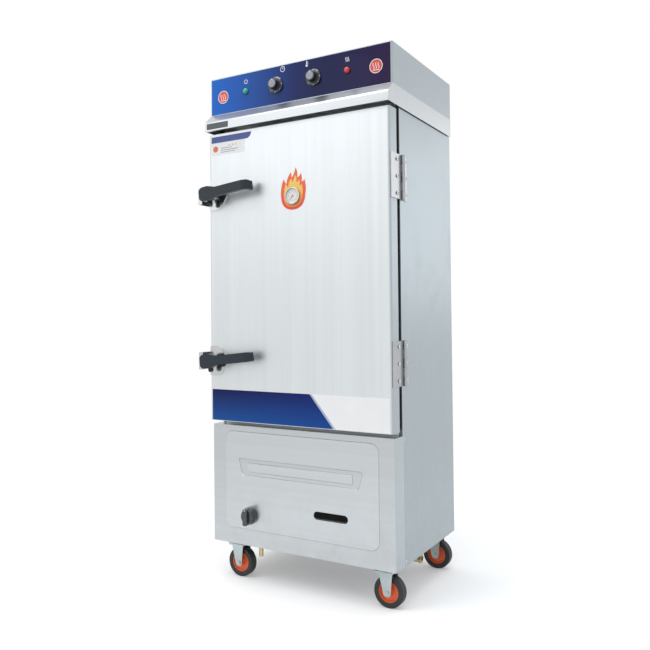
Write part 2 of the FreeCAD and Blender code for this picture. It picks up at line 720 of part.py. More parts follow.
def lower_panel():
    """The wrapped front skirt with its pressed field, the lighting window and the gas tap's hole."""
    panel = Piece("lower_panel")
    wide = half_width
    steel = size.sheet
    profile = panel.draw("XY").polygon([
        (-wide, body_front), (-wide, 0, size.fold_radius), (wide, 0, size.fold_radius),
        (wide, body_front), (wide - steel, body_front), (wide - steel, steel),
        (steel - wide, steel), (steel - wide, body_front)])
    panel.pad("wrapped sheet", profile, size.lower_height)
    ledge = panel.draw("XY", size.lower_height - steel)
    symmetric(ledge, wide - steel, steel, body_front)
    panel.pad("top ledge", ledge, steel)

    press = size.press_depth
    field_half = wide - size.raised_side
    field = panel.draw("XZ")
    symmetric(field, field_half, size.raised_bottom, size.raised_top, size.raised_corner)
    panel.pad_down("pressed field", field, press, size.press_slope)
    recess = recess_outline(panel.draw("XZ", -press), 0)
    panel.cut("recess", recess, press, size.press_slope)
    rib_half = size.recess_bottom_half - size.rib_end
    rib = panel.draw("XZ")
    symmetric(rib, rib_half, size.recess_bottom + size.rib_margin, size.recess_top - size.rib_margin)
    panel.pad_down("rib", rib, press, size.press_slope)

    back = panel.draw("XZ", steel - press)
    symmetric(back, field_half - steel - press, size.raised_bottom + steel + press,
              size.raised_top - steel - press, size.raised_corner - steel - press)
    recess_outline(back, steel + press)
    symmetric(back, rib_half - steel - press, size.recess_bottom + size.rib_margin + steel + press,
              size.recess_top - size.rib_margin - steel - press)
    panel.cut("back of the pressing", back, press)

    openings = panel.draw("XZ", -press)
    openings.slot(size.window_x, size.window_height, size.window_length, size.window_width)
    openings.circle(size.gas_x, size.gas_height, size.stem_radius * 2)
    panel.cut("window and tap hole", openings, press + steel)
    return panel


def recess_outline(drawing, grow):
    """The recess, wider at its top, with all its edges moved out by the same amount."""
    top = size.recess_top + grow
    bottom = size.recess_bottom - grow
    corner = size.recess_corner
    return drawing.polygon([
        (-size.recess_bottom_half - grow, bottom, corner), (size.recess_bottom_half + grow, bottom, corner),
        (size.recess_top_half + grow, top, corner / 2), (-size.recess_top_half - grow, top, corner / 2)])


def liner():
    """The chamber's welded inner box, open to the front and to the tank below it."""
    box = Piece("chamber_liner")
    thin = size.thin_sheet
    outer = box.draw("XZ", body_front)
    symmetric(outer, chamber_half + thin, size.chamber_floor, size.chamber_top + thin)
    box.pad("box", outer, chamber_back + thin - body_front)
    hollow = box.draw("XZ", body_front)
    symmetric(hollow, chamber_half, size.chamber_floor, size.chamber_top)
    box.cut("chamber", hollow, chamber_back - body_front)
    flange = box.draw("XZ", body_front)
    symmetric(flange, half_width - size.side_fold - size.fit_gap, size.lower_height + size.fit_gap,
              cap_under - size.fit_gap)
    symmetric(flange, chamber_half, size.chamber_sill, size.chamber_top)
    box.pad("front flange", flange, size.sheet)
    vent = box.draw("XZ", chamber_back)
    vent.circle(size.vent_x, size.vent_height, size.vent_radius + size.fit_gap)
    box.cut("vent hole", vent, thin)
    return box


def wall_insulation():
    """Foam between the liner and the outer sheets: both sides, the back and the top."""
    foam = Piece("wall_insulation")
    gap = size.fit_gap
    front = body_front + size.sheet + gap
    block = foam.draw("XZ", front)
    symmetric(block, inside - gap, size.chamber_floor + gap, cap_under - gap)
    foam.pad("block", block, rear_inside - front)
    hollow = foam.draw("XZ", front)
    reach = chamber_half + size.thin_sheet + gap
    symmetric(hollow, reach, size.chamber_floor + gap, size.chamber_top + size.thin_sheet + gap)
    foam.cut("room for the liner", hollow, chamber_back + size.thin_sheet + gap - front)
    vent = foam.draw("XZ", chamber_back)
    vent.circle(size.vent_x, size.vent_height, size.vent_radius + gap)
    foam.cut("vent hole", vent, size.wall)
    return foam


tank_half = half_width - size.tank_side
tank_rear = cabinet_depth - size.tank_back
heater_back = cabinet_depth - size.heater_end
tank_floor = size.chamber_floor - size.tank_depth
heater_xs = (-size.heater_pitch, as_size(0), size.heater_pitch)


def water_tank():
    """An open pan under the chamber whose rim rests on the corner posts."""
    tank = Piece("water_tank")
    steel = size.sheet
    body = tank.draw("XY", tank_floor)
    symmetric(body, tank_half, size.tank_front, tank_rear, size.tray_corner)
    tank.pad("pan", body, size.tank_depth)
    rim = tank.draw("XY", rim_under)
    symmetric(rim, tank_half + size.tank_rim, body_front + steel + size.fit_gap, rear_inside - size.fit_gap)
    tank.pad("rim", rim, steel)
    hollow = tank.draw("XY", tank_floor + steel)
    symmetric(hollow, tank_half - steel, size.tank_front + steel, tank_rear - steel,
              size.tray_corner - steel)
    tank.cut("water", hollow, size.tank_depth - steel)
    drain = tank.draw("XY", tank_floor)
    drain.circle(size.drain_x, size.drain_y, size.water_pipe - size.pipe_wall)
    tank.cut("drain hole", drain, steel)
    holes = tank.draw("XZ", tank_rear - steel)
    for x in heater_xs:
        for leg in (-size.heater_bend, size.heater_bend):
            holes.circle(x + leg, size.heater_height, size.heater_radius)
    holes.circle(size.inlet_x, size.inlet_height, size.water_pipe + size.fit_gap)
    tank.cut("heater and inlet holes", holes, steel)
    return tank


def steam_plate():
    """A perforated plate over the water that lets the steam up."""
    plate = Piece("steam_plate")
    gap = size.fit_gap
    front = body_front + size.sheet + gap
    reach = chamber_half - size.frame_steel - gap * 2
    outline = plate.draw("XY", size.chamber_floor)
    symmetric(outline, reach, front, chamber_back - gap)
    plate.pad("plate", outline, size.sheet)
    first_x = -size.plate_hole_pitch * (size.plate_hole_columns - 1) / 2
    middle_y = (front + chamber_back) / 2
    first_y = middle_y - size.plate_hole_pitch * (size.plate_hole_rows - 1) / 2
    hole = plate.cut("hole", plate.draw("XY", size.chamber_floor).circle(
        first_x, first_y, size.plate_hole), size.sheet)
    row = plate.feature("MultiTransform", "holes")
    row.Originals = [hole]
    across = doc.addObject("PartDesign::LinearPattern", "across")
    back = doc.addObject("PartDesign::LinearPattern", "to the back")
    for pattern, axis, count in ((across, "X", size.plate_hole_columns), (back, "Y", size.plate_hole_rows)):
        plate.body.addObject(pattern)
        pattern.Direction = (origin_part(plate.body, AXES[axis]), [""])
        pattern.Mode = "Spacing"
        bind(pattern, "Offset", size.plate_hole_pitch)
        bind(pattern, "Occurrences", count)
    row.Transformations = [across, back]
    plate.body.Tip = row
    return plate


def tray_racks():
    """Two ladders of angle ledges against the chamber's sides."""
    racks = Piece("tray_racks")
    steel = size.ledge_steel
    low = size.ledge_first
    top = low + size.ledge_pitch * (size.ledge_count - 1) + size.ledge_edge * 2
    middle_y = (body_front + chamber_back) / 2
    reach = size.ledge_length / 2
    ledges = []
    for side in (-1, 1):
        wall = (chamber_half - size.fit_gap) * side
        face = wall - size.frame_steel * side
        tip = face - size.ledge_width * side
        edge = face - steel * side
        for middle in (middle_y - reach + size.post_width, middle_y + reach - size.post_width):
            foot = racks.draw("XY", size.chamber_floor).rectangle(
                face, middle - size.post_width / 2, wall, middle + size.post_width / 2)
            racks.pad("upright", foot, top - size.chamber_floor)
        angle = racks.draw("XZ", middle_y - reach).polygon([
            (tip, low), (face, low), (face, low + size.ledge_edge), (edge, low + size.ledge_edge),
            (edge, low + steel), (tip, low + steel)])
        ledges.append(racks.pad("ledge", angle, size.ledge_length))
    racks.repeat("ledges", ledges, "Z", size.ledge_pitch, size.ledge_count)
    return racks


def trays():
    """Rice trays that stand on the ledges, each a pan with leaning sides and a flat rim."""
    pans = Piece("trays")
    low = size.ledge_first + size.ledge_steel + size.ledge_pitch * size.tray_first
    half = size.tray_width / 2
    front = body_front + size.tray_gap
    back = front + size.tray_length
    rim = size.tray_rim
    wall = size.tray_wall
    foot = rim + size.tray_taper
    corner = size.tray_corner

    def level(height, inset, radius):
        drawing = pans.draw("XY", height)
        return symmetric(drawing, half - inset, front + inset, back - inset, radius).sketch

    outside = pans.feature("AdditiveLoft", "pan")
    outside.Profile = level(low, foot, corner)
    outside.Sections = [level(low + size.tray_height, rim, corner)]
    outside.Ruled = True
    plate = pans.draw("XY", low + size.tray_height - wall)
    symmetric(plate, half, front, back, corner + rim)
    flat = pans.pad("rim", plate, wall)
    hollow = pans.feature("SubtractiveLoft", "hollow")
    hollow.Profile = level(low + wall, foot + wall, corner - wall)
    hollow.Sections = [level(low + size.tray_height, rim + wall, corner - wall)]
    hollow.Ruled = True
    pans.repeat("trays", [outside, flat, hollow], "Z", size.ledge_pitch * size.tray_step, size.tray_count)
    return pans


def pipe_run(piece, label, plane, at, x, y, outer, bore, length):
    """A straight pipe from its drawing's plane towards the end of its axis."""
    ring = piece.draw(plane, at)
    ring.circle(x, y, outer)
    ring.circle(x, y, bore)
    return piece.pad(label, ring, length)


def nut(piece, label, plane, at, x, y, bore, across, length):
    """A hexagon nut round a pipe or a tube, drawn from its plane towards the end of its axis."""
    drawing = piece.draw(plane, at)
    half = across * math.sin(math.radians(60))
    side = across / 2
    drawing.polygon([(x - across, y), (x - side, y - half), (x + side, y - half),
                     (x + across, y), (x + side, y + half), (x - side, y + half)])
    drawing.circle(x, y, bore)
    return piece.pad(label, drawing, length)


def heating_elements():
    """Three hairpin heating tubes through the tank's rear wall, with a nut outside at each leg."""
    bend = size.heater_bend
    hairpins = []
    for number, middle in enumerate(heater_xs):
        pin = Piece("hairpin_%d" % (number + 1), x=middle, z=size.heater_height)
        path = pin.draw("XY")
        sketch = path.sketch
        legs = []
        for side in (-1, 1):
            x = bend * side
            legs.append(sketch.addGeometry(Part.LineSegment(
                FreeCAD.Vector(x.value, size.heater_front.value, 0),
                FreeCAD.Vector(x.value, heater_back.value, 0))))
            path.locate(legs[-1], 1, x, size.heater_front)
            path.locate(legs[-1], 2, x, heater_back)
        rim = Part.Circle(FreeCAD.Vector(0, size.heater_front.value, 0), FreeCAD.Vector(0, 0, 1), bend.value)
        arc = sketch.addGeometry(Part.ArcOfCircle(rim, math.pi, 2 * math.pi))
        sketch.addConstraint(Sketcher.Constraint("Coincident", arc, 1, legs[0], 1))
        sketch.addConstraint(Sketcher.Constraint("Coincident", arc, 2, legs[1], 1))
        path.hold("DistanceY", (-1, 1, arc, 3), size.heater_front)
        section = pin.draw("XZ", heater_back).circle(-bend, 0, size.heater_radius)
        tube = pin.feature("AdditivePipe", "tube")
        tube.Profile = section.sketch
        tube.Spine = (sketch, ["Edge1", "Edge3", "Edge2"])
        for side in (-1, 1):
            nut(pin, "nut", "XZ", tank_rear, bend * side, 0, size.heater_radius / 2,
                size.nut_radius, size.nut_height)
            stud = pin.draw("XZ", heater_back).circle(bend * side, 0, size.stem_radius)
            pin.pad("terminal", stud, size.nut_height * 2)
        hairpins.append(pin)
    return grouped("heating_elements", hairpins)


def gas_burner():
    """A cast burner: a manifold with five slotted bars behind it, on the two bearers."""
    burner = Piece("gas_burner")
    depth = size.burner_depth
    low = size.gas_height - depth / 2
    block = burner.draw("XY", low)
    symmetric(block, size.burner_half, size.burner_front, size.burner_front + depth, size.fold_radius * 2)
    burner.pad("manifold", block, depth)
    bars = []
    first = -size.burner_bar_pitch * (size.burner_bar_count - 1) / 2
    back = size.burner_front + depth
    bar = burner.draw("XZ", back).circle(first, size.gas_height, size.burner_bar)
    bars.append(burner.pad("bar", bar, size.burner_bar_length))
    saddle = burner.draw("XY", low).rectangle(
        first - size.burner_bar / 2, bearer_rear_y - size.bearer_width / 2,
        first + size.burner_bar / 2, bearer_rear_y + size.bearer_width / 2)
    bars.append(burner.pad("foot", saddle, depth / 2))
    burner.repeat("bars", bars, "X", size.burner_bar_pitch, size.burner_bar_count)
    cap_half = -first + size.burner_bar
    slots = burner.draw("XY", size.gas_height + size.burner_bar / 2)
    start = back + size.port_pitch / 2
    symmetric(slots, cap_half, start, start + size.port_width)
    port = burner.cut("flame slot", slots, size.burner_bar / 2)
    burner.repeat("flame slots", [port], "Y", size.port_pitch, size.port_count)
    return burner


def gas_tap():
    """The gas tap's body behind the lower panel, bored for the knob's spindle."""
    tap = Piece("gas_valve")
    side = size.tap_side / 2
    front = size.sheet + size.fit_gap
    block = tap.draw("XZ", front).rectangle(size.gas_x - side, size.gas_height - side, size.gas_x + side,
                                            size.gas_height + side, size.fold_radius)
    tap.pad("body", block, size.tap_back - front)
    bore = tap.draw("XZ", front).circle(size.gas_x, size.gas_height, size.stem_radius + size.shaft_gap)
    tap.cut("spindle bore", bore, size.tap_side / 2)
    inlet = tap.draw("XY", size.gas_height - side)
    inlet.circle(size.gas_x, size.gas_inlet_y, size.gas_pipe - size.gas_pipe_wall)
    tap.cut("inlet", inlet, side)
    return tap


def gas_pipe():
    """The gas inlet from below the cabinet to the tap, and the run from the tap to the burner."""
    bore = size.gas_pipe - size.gas_pipe_wall
    low = -size.gas_inlet_drop
    top = size.gas_height - size.tap_side / 2
    inlet = Piece("gas_inlet_pipe")
    pipe_run(inlet, "inlet", "XY", low, size.gas_x, size.gas_inlet_y, size.gas_pipe, bore, top - low)
    for at in (-size.nut_height * 2, top - size.nut_height):
        nut(inlet, "nut", "XY", at, size.gas_x, size.gas_inlet_y, bore, size.nut_radius, size.nut_height)
    feed = Piece("gas_feed_pipe")
    length = size.burner_front - size.tap_back
    pipe_run(feed, "feed", "XZ", size.tap_back, size.gas_x, size.gas_height, size.gas_pipe, bore, length)
    return grouped("gas_pipe", [inlet, feed])


def water_inlet():
    """The water inlet's pipe from behind the rear panel into the tank."""
    inlet = Piece("water_inlet")
    bore = size.water_pipe - size.pipe_wall
    start = tank_rear - size.nut_radius * 2
    end = cabinet_depth + size.rear_reach
    pipe_run(inlet, "pipe", "XZ", start, size.inlet_x, size.inlet_height, size.water_pipe, bore, end - start)
    across = size.water_pipe * 1.5
    for at in (tank_rear, cabinet_depth):
        nut(inlet, "nut", "XZ", at, size.inlet_x, size.inlet_height, bore, across, size.nut_height)
    return inlet


def steam_vent():
    """The steam outlet from the chamber through the rear panel, with its flange."""
    vent = Piece("steam_vent")
    bore = size.vent_radius - size.pipe_wall
    start = chamber_back
    end = cabinet_depth + size.rear_reach
    pipe_run(vent, "pipe", "XZ", start, size.vent_x, size.vent_height, size.vent_radius, bore, end - start)
    pipe_run(vent, "flange", "XZ", cabinet_depth, size.vent_x, size.vent_height, size.vent_flange,
             bore, size.pipe_wall)
    return vent


tap_middle_z = -size.tap_drop


def drain_pipe():
    """The drain from the tank's floor down and across to the drain tap."""
    bend = size.drain_bend.value
    corners = [
        FreeCAD.Vector(size.drain_x.value, size.drain_y.value, tank_floor.value),
        FreeCAD.Vector(size.drain_x.value, size.drain_y.value, tap_middle_z.value),
        FreeCAD.Vector(size.tap_x.value, size.drain_y.value, tap_middle_z.value)]
    edges = []
    last = corners[0]
    for before, corner, after in zip(corners, corners[1:], corners[2:]):
        back = (before - corner).normalize()
        ahead = (after - corner).normalize()
        arrive = corner + back * bend
        leave = corner + ahead * bend
        middle = corner + (back + ahead) * (bend * (1 - math.sqrt(0.5)))
        edges.append(Part.LineSegment(last, arrive).toShape())
        edges.append(Part.Arc(arrive, middle, leave).toShape())
        last = leave
    edges.append(Part.LineSegment(last, corners[-1]).toShape())
    path = Part.Wire(edges)
    down = FreeCAD.Vector(0, 0, -1)
    tubes = []
    for radius in (size.water_pipe, size.water_pipe - size.pipe_wall):
        ring = Part.Wire([Part.makeCircle(radius.value, corners[0], down)])
        tubes.append(path.makePipeShell([ring], True, False))
    pipe = doc.addObject("Part::Feature", "drain_pipe")
    pipe.Label = "drain_pipe"
    pipe.Shape = tubes[0].cut(tubes[1])
    pipe.Placement = FreeCAD.Placement(
        FreeCAD.Vector(0, panel_front.value, size.caster_height.value), FreeCAD.Rotation())
    bind(pipe, "Placement.Base.y", panel_front)
    bind(pipe, "Placement.Base.z", size.caster_height)
    nodes["drain_pipe"] = pipe
    return pipe


def drain_tap():
    """A brass ball tap: a turned barrel between two hexagons, with a stem boss on top."""
    tap = Piece("drain_valve_body", x=size.tap_x, y=size.drain_y, z=tap_middle_z)
    wall = size.tap_bore
    across = size.tap_radius * 1.1
    neck = size.tap_radius - size.pipe_wall
    hexagon = size.tap_length / 5
    for at in (as_size(0), size.tap_length - hexagon):
        nut(tap, "hexagon", "YZ", at, 0, 0, wall, across, hexagon)
    profile = tap.draw("XZ").polygon([
        (hexagon, wall), (hexagon, neck), (hexagon * 1.5, neck), (hexagon * 2, size.tap_radius),
        (hexagon * 3.4, size.tap_radius), (hexagon * 3.8, neck), (hexagon * 4, neck), (hexagon * 4, wall)])
    tap.turned("barrel", profile)
    boss = tap.draw("XY", wall + size.pipe_wall).circle(size.tap_stem, 0, size.spindle_radius)
    tap.pad("stem boss", boss, size.tap_radius - wall)
    bore = tap.draw("XY", wall + size.pipe_wall / 2)
    bore.circle(size.tap_stem, 0, size.stem_radius + size.shaft_gap)
    tap.cut("stem bore", bore, size.tap_radius)
    return tap


def drain_lever():
    """The drain tap's lever, cranked up from its stem and rounded at its end."""
    rise = size.tap_radius + size.pipe_wall
    lever = Piece("drain_valve_lever", x=size.tap_x + size.tap_stem, y=size.drain_y, z=tap_middle_z)
    half = size.tap_lever_width / 2
    length = size.tap_lever_length
    plan = lever.draw("XY", rise).polygon([
        (-half, -half, half * 0.95), (half, -half, half * 0.95),
        (half, length, half * 0.95), (-half, length, half * 0.95)])
    lever.pad("lever", plan, size.tap_lever_thickness)
    grip = lever.draw("XY", rise + size.tap_lever_thickness).polygon([
        (-half, length * 0.4, half * 0.9), (half, length * 0.4, half * 0.9),
        (half, length, half * 0.95), (-half, length, half * 0.95)])
    lever.pad("grip", grip, size.tap_lever_thickness / 2)
    low = size.tap_bore + size.pipe_wall / 2 + size.fit_gap
    stem = lever.draw("XY", low).circle(0, 0, size.stem_radius)
    lever.pad("stem", stem, rise - low)
    cap = lever.draw("XY", rise + size.tap_lever_thickness).circle(0, 0, size.stem_radius * 1.6)
    lever.pad("stem nut", cap, size.screw_rise)
    return lever


def control_box():
    """The sheet box on the roof cap that holds the switches, open underneath."""
    box = Piece("control_box")
    wide = half_width + size.cap_overhang
    corner = size.control_corner
    steel = size.sheet

    def outline(at, inset):
        small = size.fold_radius
        return box.draw("XY", at).polygon([
            (-wide + inset, inset, corner - inset), (wide - inset, inset, corner - inset),
            (wide - inset, cabinet_depth - inset, small - inset),
            (-wide + inset, cabinet_depth - inset, small - inset)])

    box.pad("box", outline(size.body_height, as_size(0)), size.control_height)
    box.cut("hollow", outline(size.body_height, steel), size.control_height - steel)
    dial_holes(box, size.sheet, 0)
    return box


def dial_holes(piece, depth, at):
    """Holes for the lamps and for the two knobs' spindles."""
    level = size.body_height + size.dial_rise
    holes = piece.draw("XZ", at)
    for side in (-1, 1):
        holes.circle(size.lamp_offset * side, level, size.lamp_neck + size.fit_gap)
        holes.circle(size.knob_offset * side, level, size.stem_radius * 2)
    piece.cut("lamp and spindle holes", holes, depth)


def control_panel():
    """The printed film on the control box's front."""
    film = Piece("control_panel")
    half = half_width + size.cap_overhang - size.film_side
    outline = film.draw("XZ", -size.film_thickness)
    symmetric(outline, half, size.body_height + size.film_bottom,
              size.body_height + size.control_height - size.film_top)
    film.pad("film", outline, size.film_thickness)
    dial_holes(film, size.film_thickness, -size.film_thickness)
    return film


def lamp(label, side):
    """A domed lamp in front of the film, with its body through the sheet and a nut behind."""
    level = size.body_height + size.dial_rise
    lens = Piece(label, x=size.lamp_offset * side, z=level)
    face = -size.film_thickness
    tip = face - size.lamp_reach
    end = size.sheet + size.nut_height * 3
    profile = lens.draw("YZ").polygon([
        (tip, 0), (tip, size.lamp_radius, size.lamp_radius * 0.75), (face, size.lamp_radius),
        (face, size.lamp_neck), (end, size.lamp_neck), (end, 0)])
    lens.turned("lens and body", profile)
    nut(lens, "nut", "XZ", size.sheet, 0, 0, size.lamp_neck / 2, size.nut_radius, size.nut_height)
    return lens


def switch_body(label, side):
    """A timer or thermostat case behind the control box's front, bored for its spindle."""
    level = size.body_height + size.dial_rise
    case = Piece(label, x=size.knob_offset * side, z=level)
    half = size.switch_side / 2
    block = case.draw("XZ", size.sheet)
    symmetric(block, half, -half, half, size.fold_radius)
    case.pad("case", block, size.switch_depth)
    bore = case.draw("XZ", size.sheet).circle(0, 0, size.stem_radius + size.shaft_gap)
    case.cut("spindle bore", bore, size.switch_depth / 2)
    tab_half = size.stem_radius
    for x in (-half / 2, half / 2):
        tabs = case.draw("XZ", size.sheet + size.switch_depth)
        tabs.rectangle(x - tab_half, -half / 2, x + tab_half, -half / 2 + size.thin_sheet)
        tabs.rectangle(x - tab_half, half / 2, x + tab_half, half / 2 + size.thin_sheet)
        case.pad("terminals", tabs, size.nut_height)
    return case


def dial_knob(label, side):
    """A timer or thermostat knob: a skirt, a fluted grip and a spindle of its own."""
    level = size.body_height + size.dial_rise
    knob = Piece(label + "_grip", x=size.knob_offset * side, z=level)
    back = -size.film_thickness - size.fit_gap
    front = -size.film_thickness - size.dial_reach
    skirt = back - size.dial_skirt
    lean = size.dial_skirt / 3
    profile = knob.draw("YZ").polygon([
        (back, 0), (back, size.dial_radius), (skirt + lean, size.dial_radius),
        (skirt, size.dial_radius - size.dial_skirt), (skirt, size.dial_grip + lean),
        (skirt - lean * 2, size.dial_grip), (front, size.dial_grip - lean, lean), (front, 0)])
    knob.turned("skirt and grip", profile)
    flute = knob.draw("XZ", front).circle(0, size.dial_grip, size.flute_radius)
    cut = knob.cut("flute", flute, size.dial_reach - size.dial_skirt * 2)
    knob.around("flutes", [cut], "Y", size.flute_count)
    reach = size.dial_reach / 2
    socket = knob.draw("XZ", back - reach).circle(0, 0, size.stem_radius)
    knob.cut("socket", socket, reach)
    stem = Piece(label + "_spindle", x=size.knob_offset * side, z=level)
    end = size.sheet + size.switch_depth / 2 - size.fit_gap
    rod = stem.draw("XZ", back - reach).circle(0, 0, size.stem_radius)
    stem.pad("spindle", rod, end - back + reach)
    return grouped(label, [knob, stem])


def gas_knob():
    """The gas tap's knob: a coned skirt, a tall grip bar and its spindle."""
    knob = Piece("gas_knob_grip", x=size.gas_x, z=size.gas_height)
    back = -size.press_depth - size.fit_gap
    skirt = back - size.gas_knob_skirt
    front = back - size.gas_knob_reach + size.press_depth
    radius = size.gas_knob_radius
    crown = radius * 0.8
    shoulder = skirt + (front - skirt) * 0.62
    profile = knob.draw("YZ").polygon([
        (back, 0), (back, radius), (skirt, radius, size.fold_radius),
        (shoulder, crown, size.fold_radius * 2), (shoulder, 0)])
    knob.turned("skirt", profile)
    half = size.gas_bar_width / 2
    reach = size.gas_bar_length / 2
    bar = knob.draw("XZ", front)
    symmetric(bar, half, -reach, reach, half * 0.6)
    knob.pad("grip bar", bar, skirt - front)
    depth = size.gas_knob_reach / 2
    socket = knob.draw("XZ", back - depth).circle(0, 0, size.stem_radius)
    knob.cut("socket", socket, depth)
    stem = Piece("gas_knob_spindle", x=size.gas_x, z=size.gas_height)
    end = size.sheet + size.tap_side / 2
    rod = stem.draw("XZ", back - depth).circle(0, 0, size.stem_radius)
    stem.pad("spindle", rod, end - back + depth)
    return grouped("gas_knob", [knob, stem])


def contactor():
    """The heater's contactor and its terminal block on a rail across the roof cap."""
    rail_half = size.louvre_width
    unit = Piece("contactor", y=cabinet_depth / 2, z=size.body_height)
    thick = size.thin_sheet
    wide = size.plate_hole * 2
    rise = size.nut_height
    profile = unit.draw("YZ", -rail_half).polygon([
        (-wide / 2, 0), (wide / 2, 0), (wide / 2, rise), (wide, rise), (wide, rise + thick),
        (wide / 2 - thick, rise + thick), (wide / 2 - thick, thick), (thick - wide / 2, thick),
        (thick - wide / 2, rise + thick), (-wide, rise + thick), (-wide, rise), (-wide / 2, rise)])
    unit.pad("rail", profile, rail_half * 2)
    top = rise + thick
    side = size.switch_side
    case = unit.draw("XY", top).rectangle(side / 4, -side, side * 1.25, side, size.fold_radius)
    unit.pad("contactor", case, side * 1.4)
    step = unit.draw("XY", top + side * 1.4).rectangle(side / 4, -side / 2, side * 1.25, side / 2)
    unit.pad("armature cover", step, side / 4)
    block = unit.draw("XY", top).rectangle(-side * 2, -side / 2, -side / 2, side / 2)
    unit.pad("terminal block", block, side / 2)
    return unit


door_face = -size.door_proud
door_rear = size.door_thickness - size.door_proud
gasket_depth = body_front - door_rear - size.fit_gap


def door_skin():
    """The door's outer pan: its face and four sides folded back, with rounded upright edges."""
    skin = Piece("door_skin")
    steel = size.sheet

    def outline(at, inset):
        return skin.draw("XY", at).polygon([
            (inset - half_width, door_face + inset, size.door_edge - inset),
            (half_width - inset, door_face + inset, size.door_edge - inset),
            (half_width - inset, door_rear), (inset - half_width, door_rear)])

    skin.pad("pan", outline(size.door_bottom, as_size(0)), size.door_top - size.door_bottom)
    hollow = outline(size.door_bottom + steel, steel)
    skin.cut("hollow", hollow, size.door_top - size.door_bottom - steel * 2)
    probe = skin.draw("XZ", door_face).circle(0, size.gauge_height, size.gauge_stem + size.fit_gap)
    skin.cut("probe hole", probe, steel)
    holes = skin.draw("YZ", half_width - steel)
    for middle in hinge_middles:
        for z in hinge_screws(middle):
            holes.circle(hinge_y - size.door_screw_back, z, screw_hole)
    skin.cut("hinge screw holes", holes, steel)
    return skin


def inside_door(drawing, margin):
    """A rectangle inside the door's pan."""
    edge = size.sheet + margin
    return symmetric(drawing, half_width - edge, size.door_bottom + edge, size.door_top - edge)


def door_liner():
    """The sheet that closes the door's back, with a shallow pressed field towards the chamber."""
    back = Piece("door_liner")
    thin = size.thin_sheet
    back.pad("sheet", inside_door(back.draw("XZ", door_rear - thin), size.fit_gap), thin)
    edge = size.gasket_inset + size.gasket_width * 2
    rise = size.press_depth * 2
    field = back.draw("XZ", door_rear)
    symmetric(field, half_width - edge, size.door_bottom + edge, size.door_top - edge, size.raised_corner)
    back.pad("pressed field", field, rise, size.press_slope)
    inner = edge + rise + thin
    hollow = back.draw("XZ", door_rear - thin)
    symmetric(hollow, half_width - inner, size.door_bottom + inner, size.door_top - inner,
              size.raised_corner - thin - rise)
    back.cut("back of the field", hollow, rise)
    probe = back.draw("XZ", door_rear).circle(0, size.gauge_height, size.gauge_stem + size.fit_gap)
    back.cut("probe hole", probe, rise)
    return back


def door_insulation():
    """Foam between the door's skin and its liner."""
    foam = Piece("door_insulation")
    inset = size.sheet + size.fit_gap
    front = door_face + inset
    back = door_rear - size.thin_sheet - size.fit_gap
    wide = half_width - inset
    outline = foam.draw("XY", size.door_bottom + inset).polygon([
        (-wide, front, size.door_edge - inset), (wide, front, size.door_edge - inset),
        (wide, back), (-wide, back)])
    foam.pad("foam", outline, size.door_top - size.door_bottom - inset * 2)
    probe = foam.draw("XZ", front).circle(0, size.gauge_height, size.gauge_stem + size.fit_gap)
    foam.cut("probe hole", probe, back - front)
    return foam


def door_gasket():
    """The rubber ring on the door's back that seals on the body's front."""
    ring = Piece("door_gasket")
    inset = size.gasket_inset
    wide = size.gasket_width
    outline = ring.draw("XZ", door_rear)
    symmetric(outline, half_width - inset, size.door_bottom + inset, size.door_top - inset, wide * 1.5)
    symmetric(outline, half_width - inset - wide, size.door_bottom + inset + wide,
              size.door_top - inset - wide, wide / 2)
    ring.pad("ring", outline, gasket_depth)
    ring.soften("bulb", wide * 0.4, lambda edge: edge.BoundBox.YMin > (body_front - size.fit_gap * 2).value)
    return ring


def hinge_leaves(label, knuckles, plate_start, plate_end, screw_y, bore):
    """Both hinges' leaves on the door or on the body, with their knuckles and screw holes."""
    leaves = Piece(label)
    face = half_width + size.fit_gap
    gap = size.fit_gap / 2
    near = size.knuckle_radius + size.thin_sheet
    neck = (hinge_y, hinge_y - near) if plate_start.value < hinge_y.value else (hinge_y, hinge_y + near)
    for middle in hinge_middles:
        low = middle - size.knuckle_height * 2.5
        height = size.knuckle_height * 5
        plate = leaves.draw("XY", low).rectangle(face, plate_start, face + size.leaf, plate_end)
        leaves.pad("leaf", plate, height)
        shapes = []
        first = low + size.knuckle_height * knuckles[0]
        tongue = leaves.draw("XY", first + gap).rectangle(face, neck[0], face + size.leaf, neck[1])
        shapes.append(leaves.pad("knuckle's root", tongue, size.knuckle_height - gap * 2))
        rim = leaves.draw("XY", first + gap)
        rim.circle(hinge_x, hinge_y, size.knuckle_radius)
        rim.circle(hinge_x, hinge_y, bore)
        shapes.append(leaves.pad("knuckle", rim, size.knuckle_height - gap * 2))
        leaves.repeat("knuckles", shapes, "Z", size.knuckle_height * 2, len(knuckles))
        holes = leaves.draw("YZ", face)
        for z in hinge_screws(middle):
            holes.circle(screw_y, z, screw_hole)
        leaves.cut("screw holes", holes, size.leaf)
    return leaves


def hinge_pins():
    """A pin through the knuckles of each hinge, with a head at both ends."""
    pins = Piece("hinge_pins")
    for middle in hinge_middles:
        low = middle - size.knuckle_height * 2.5
        height = size.knuckle_height * 5
        rod = pins.draw("XY", low).circle(hinge_x, hinge_y, size.hinge_pin)
        pins.pad("pin", rod, height)
        for at in (low - size.hinge_pin / 2, low + height):
            head = pins.draw("XY", at).circle(hinge_x, hinge_y, size.knuckle_radius * 0.8)
            pins.pad("head", head, size.hinge_pin / 2)
    return pins


def body_hinge():
    near = size.knuckle_radius + size.thin_sheet
    leaves = hinge_leaves("hinge_leaves_on_body", (0, 2, 4), hinge_y + near, hinge_y + size.body_leaf,
                          hinge_y + size.body_screw_back, size.hinge_pin)
    return grouped("hinge_body_leaves", [leaves, hinge_pins()])


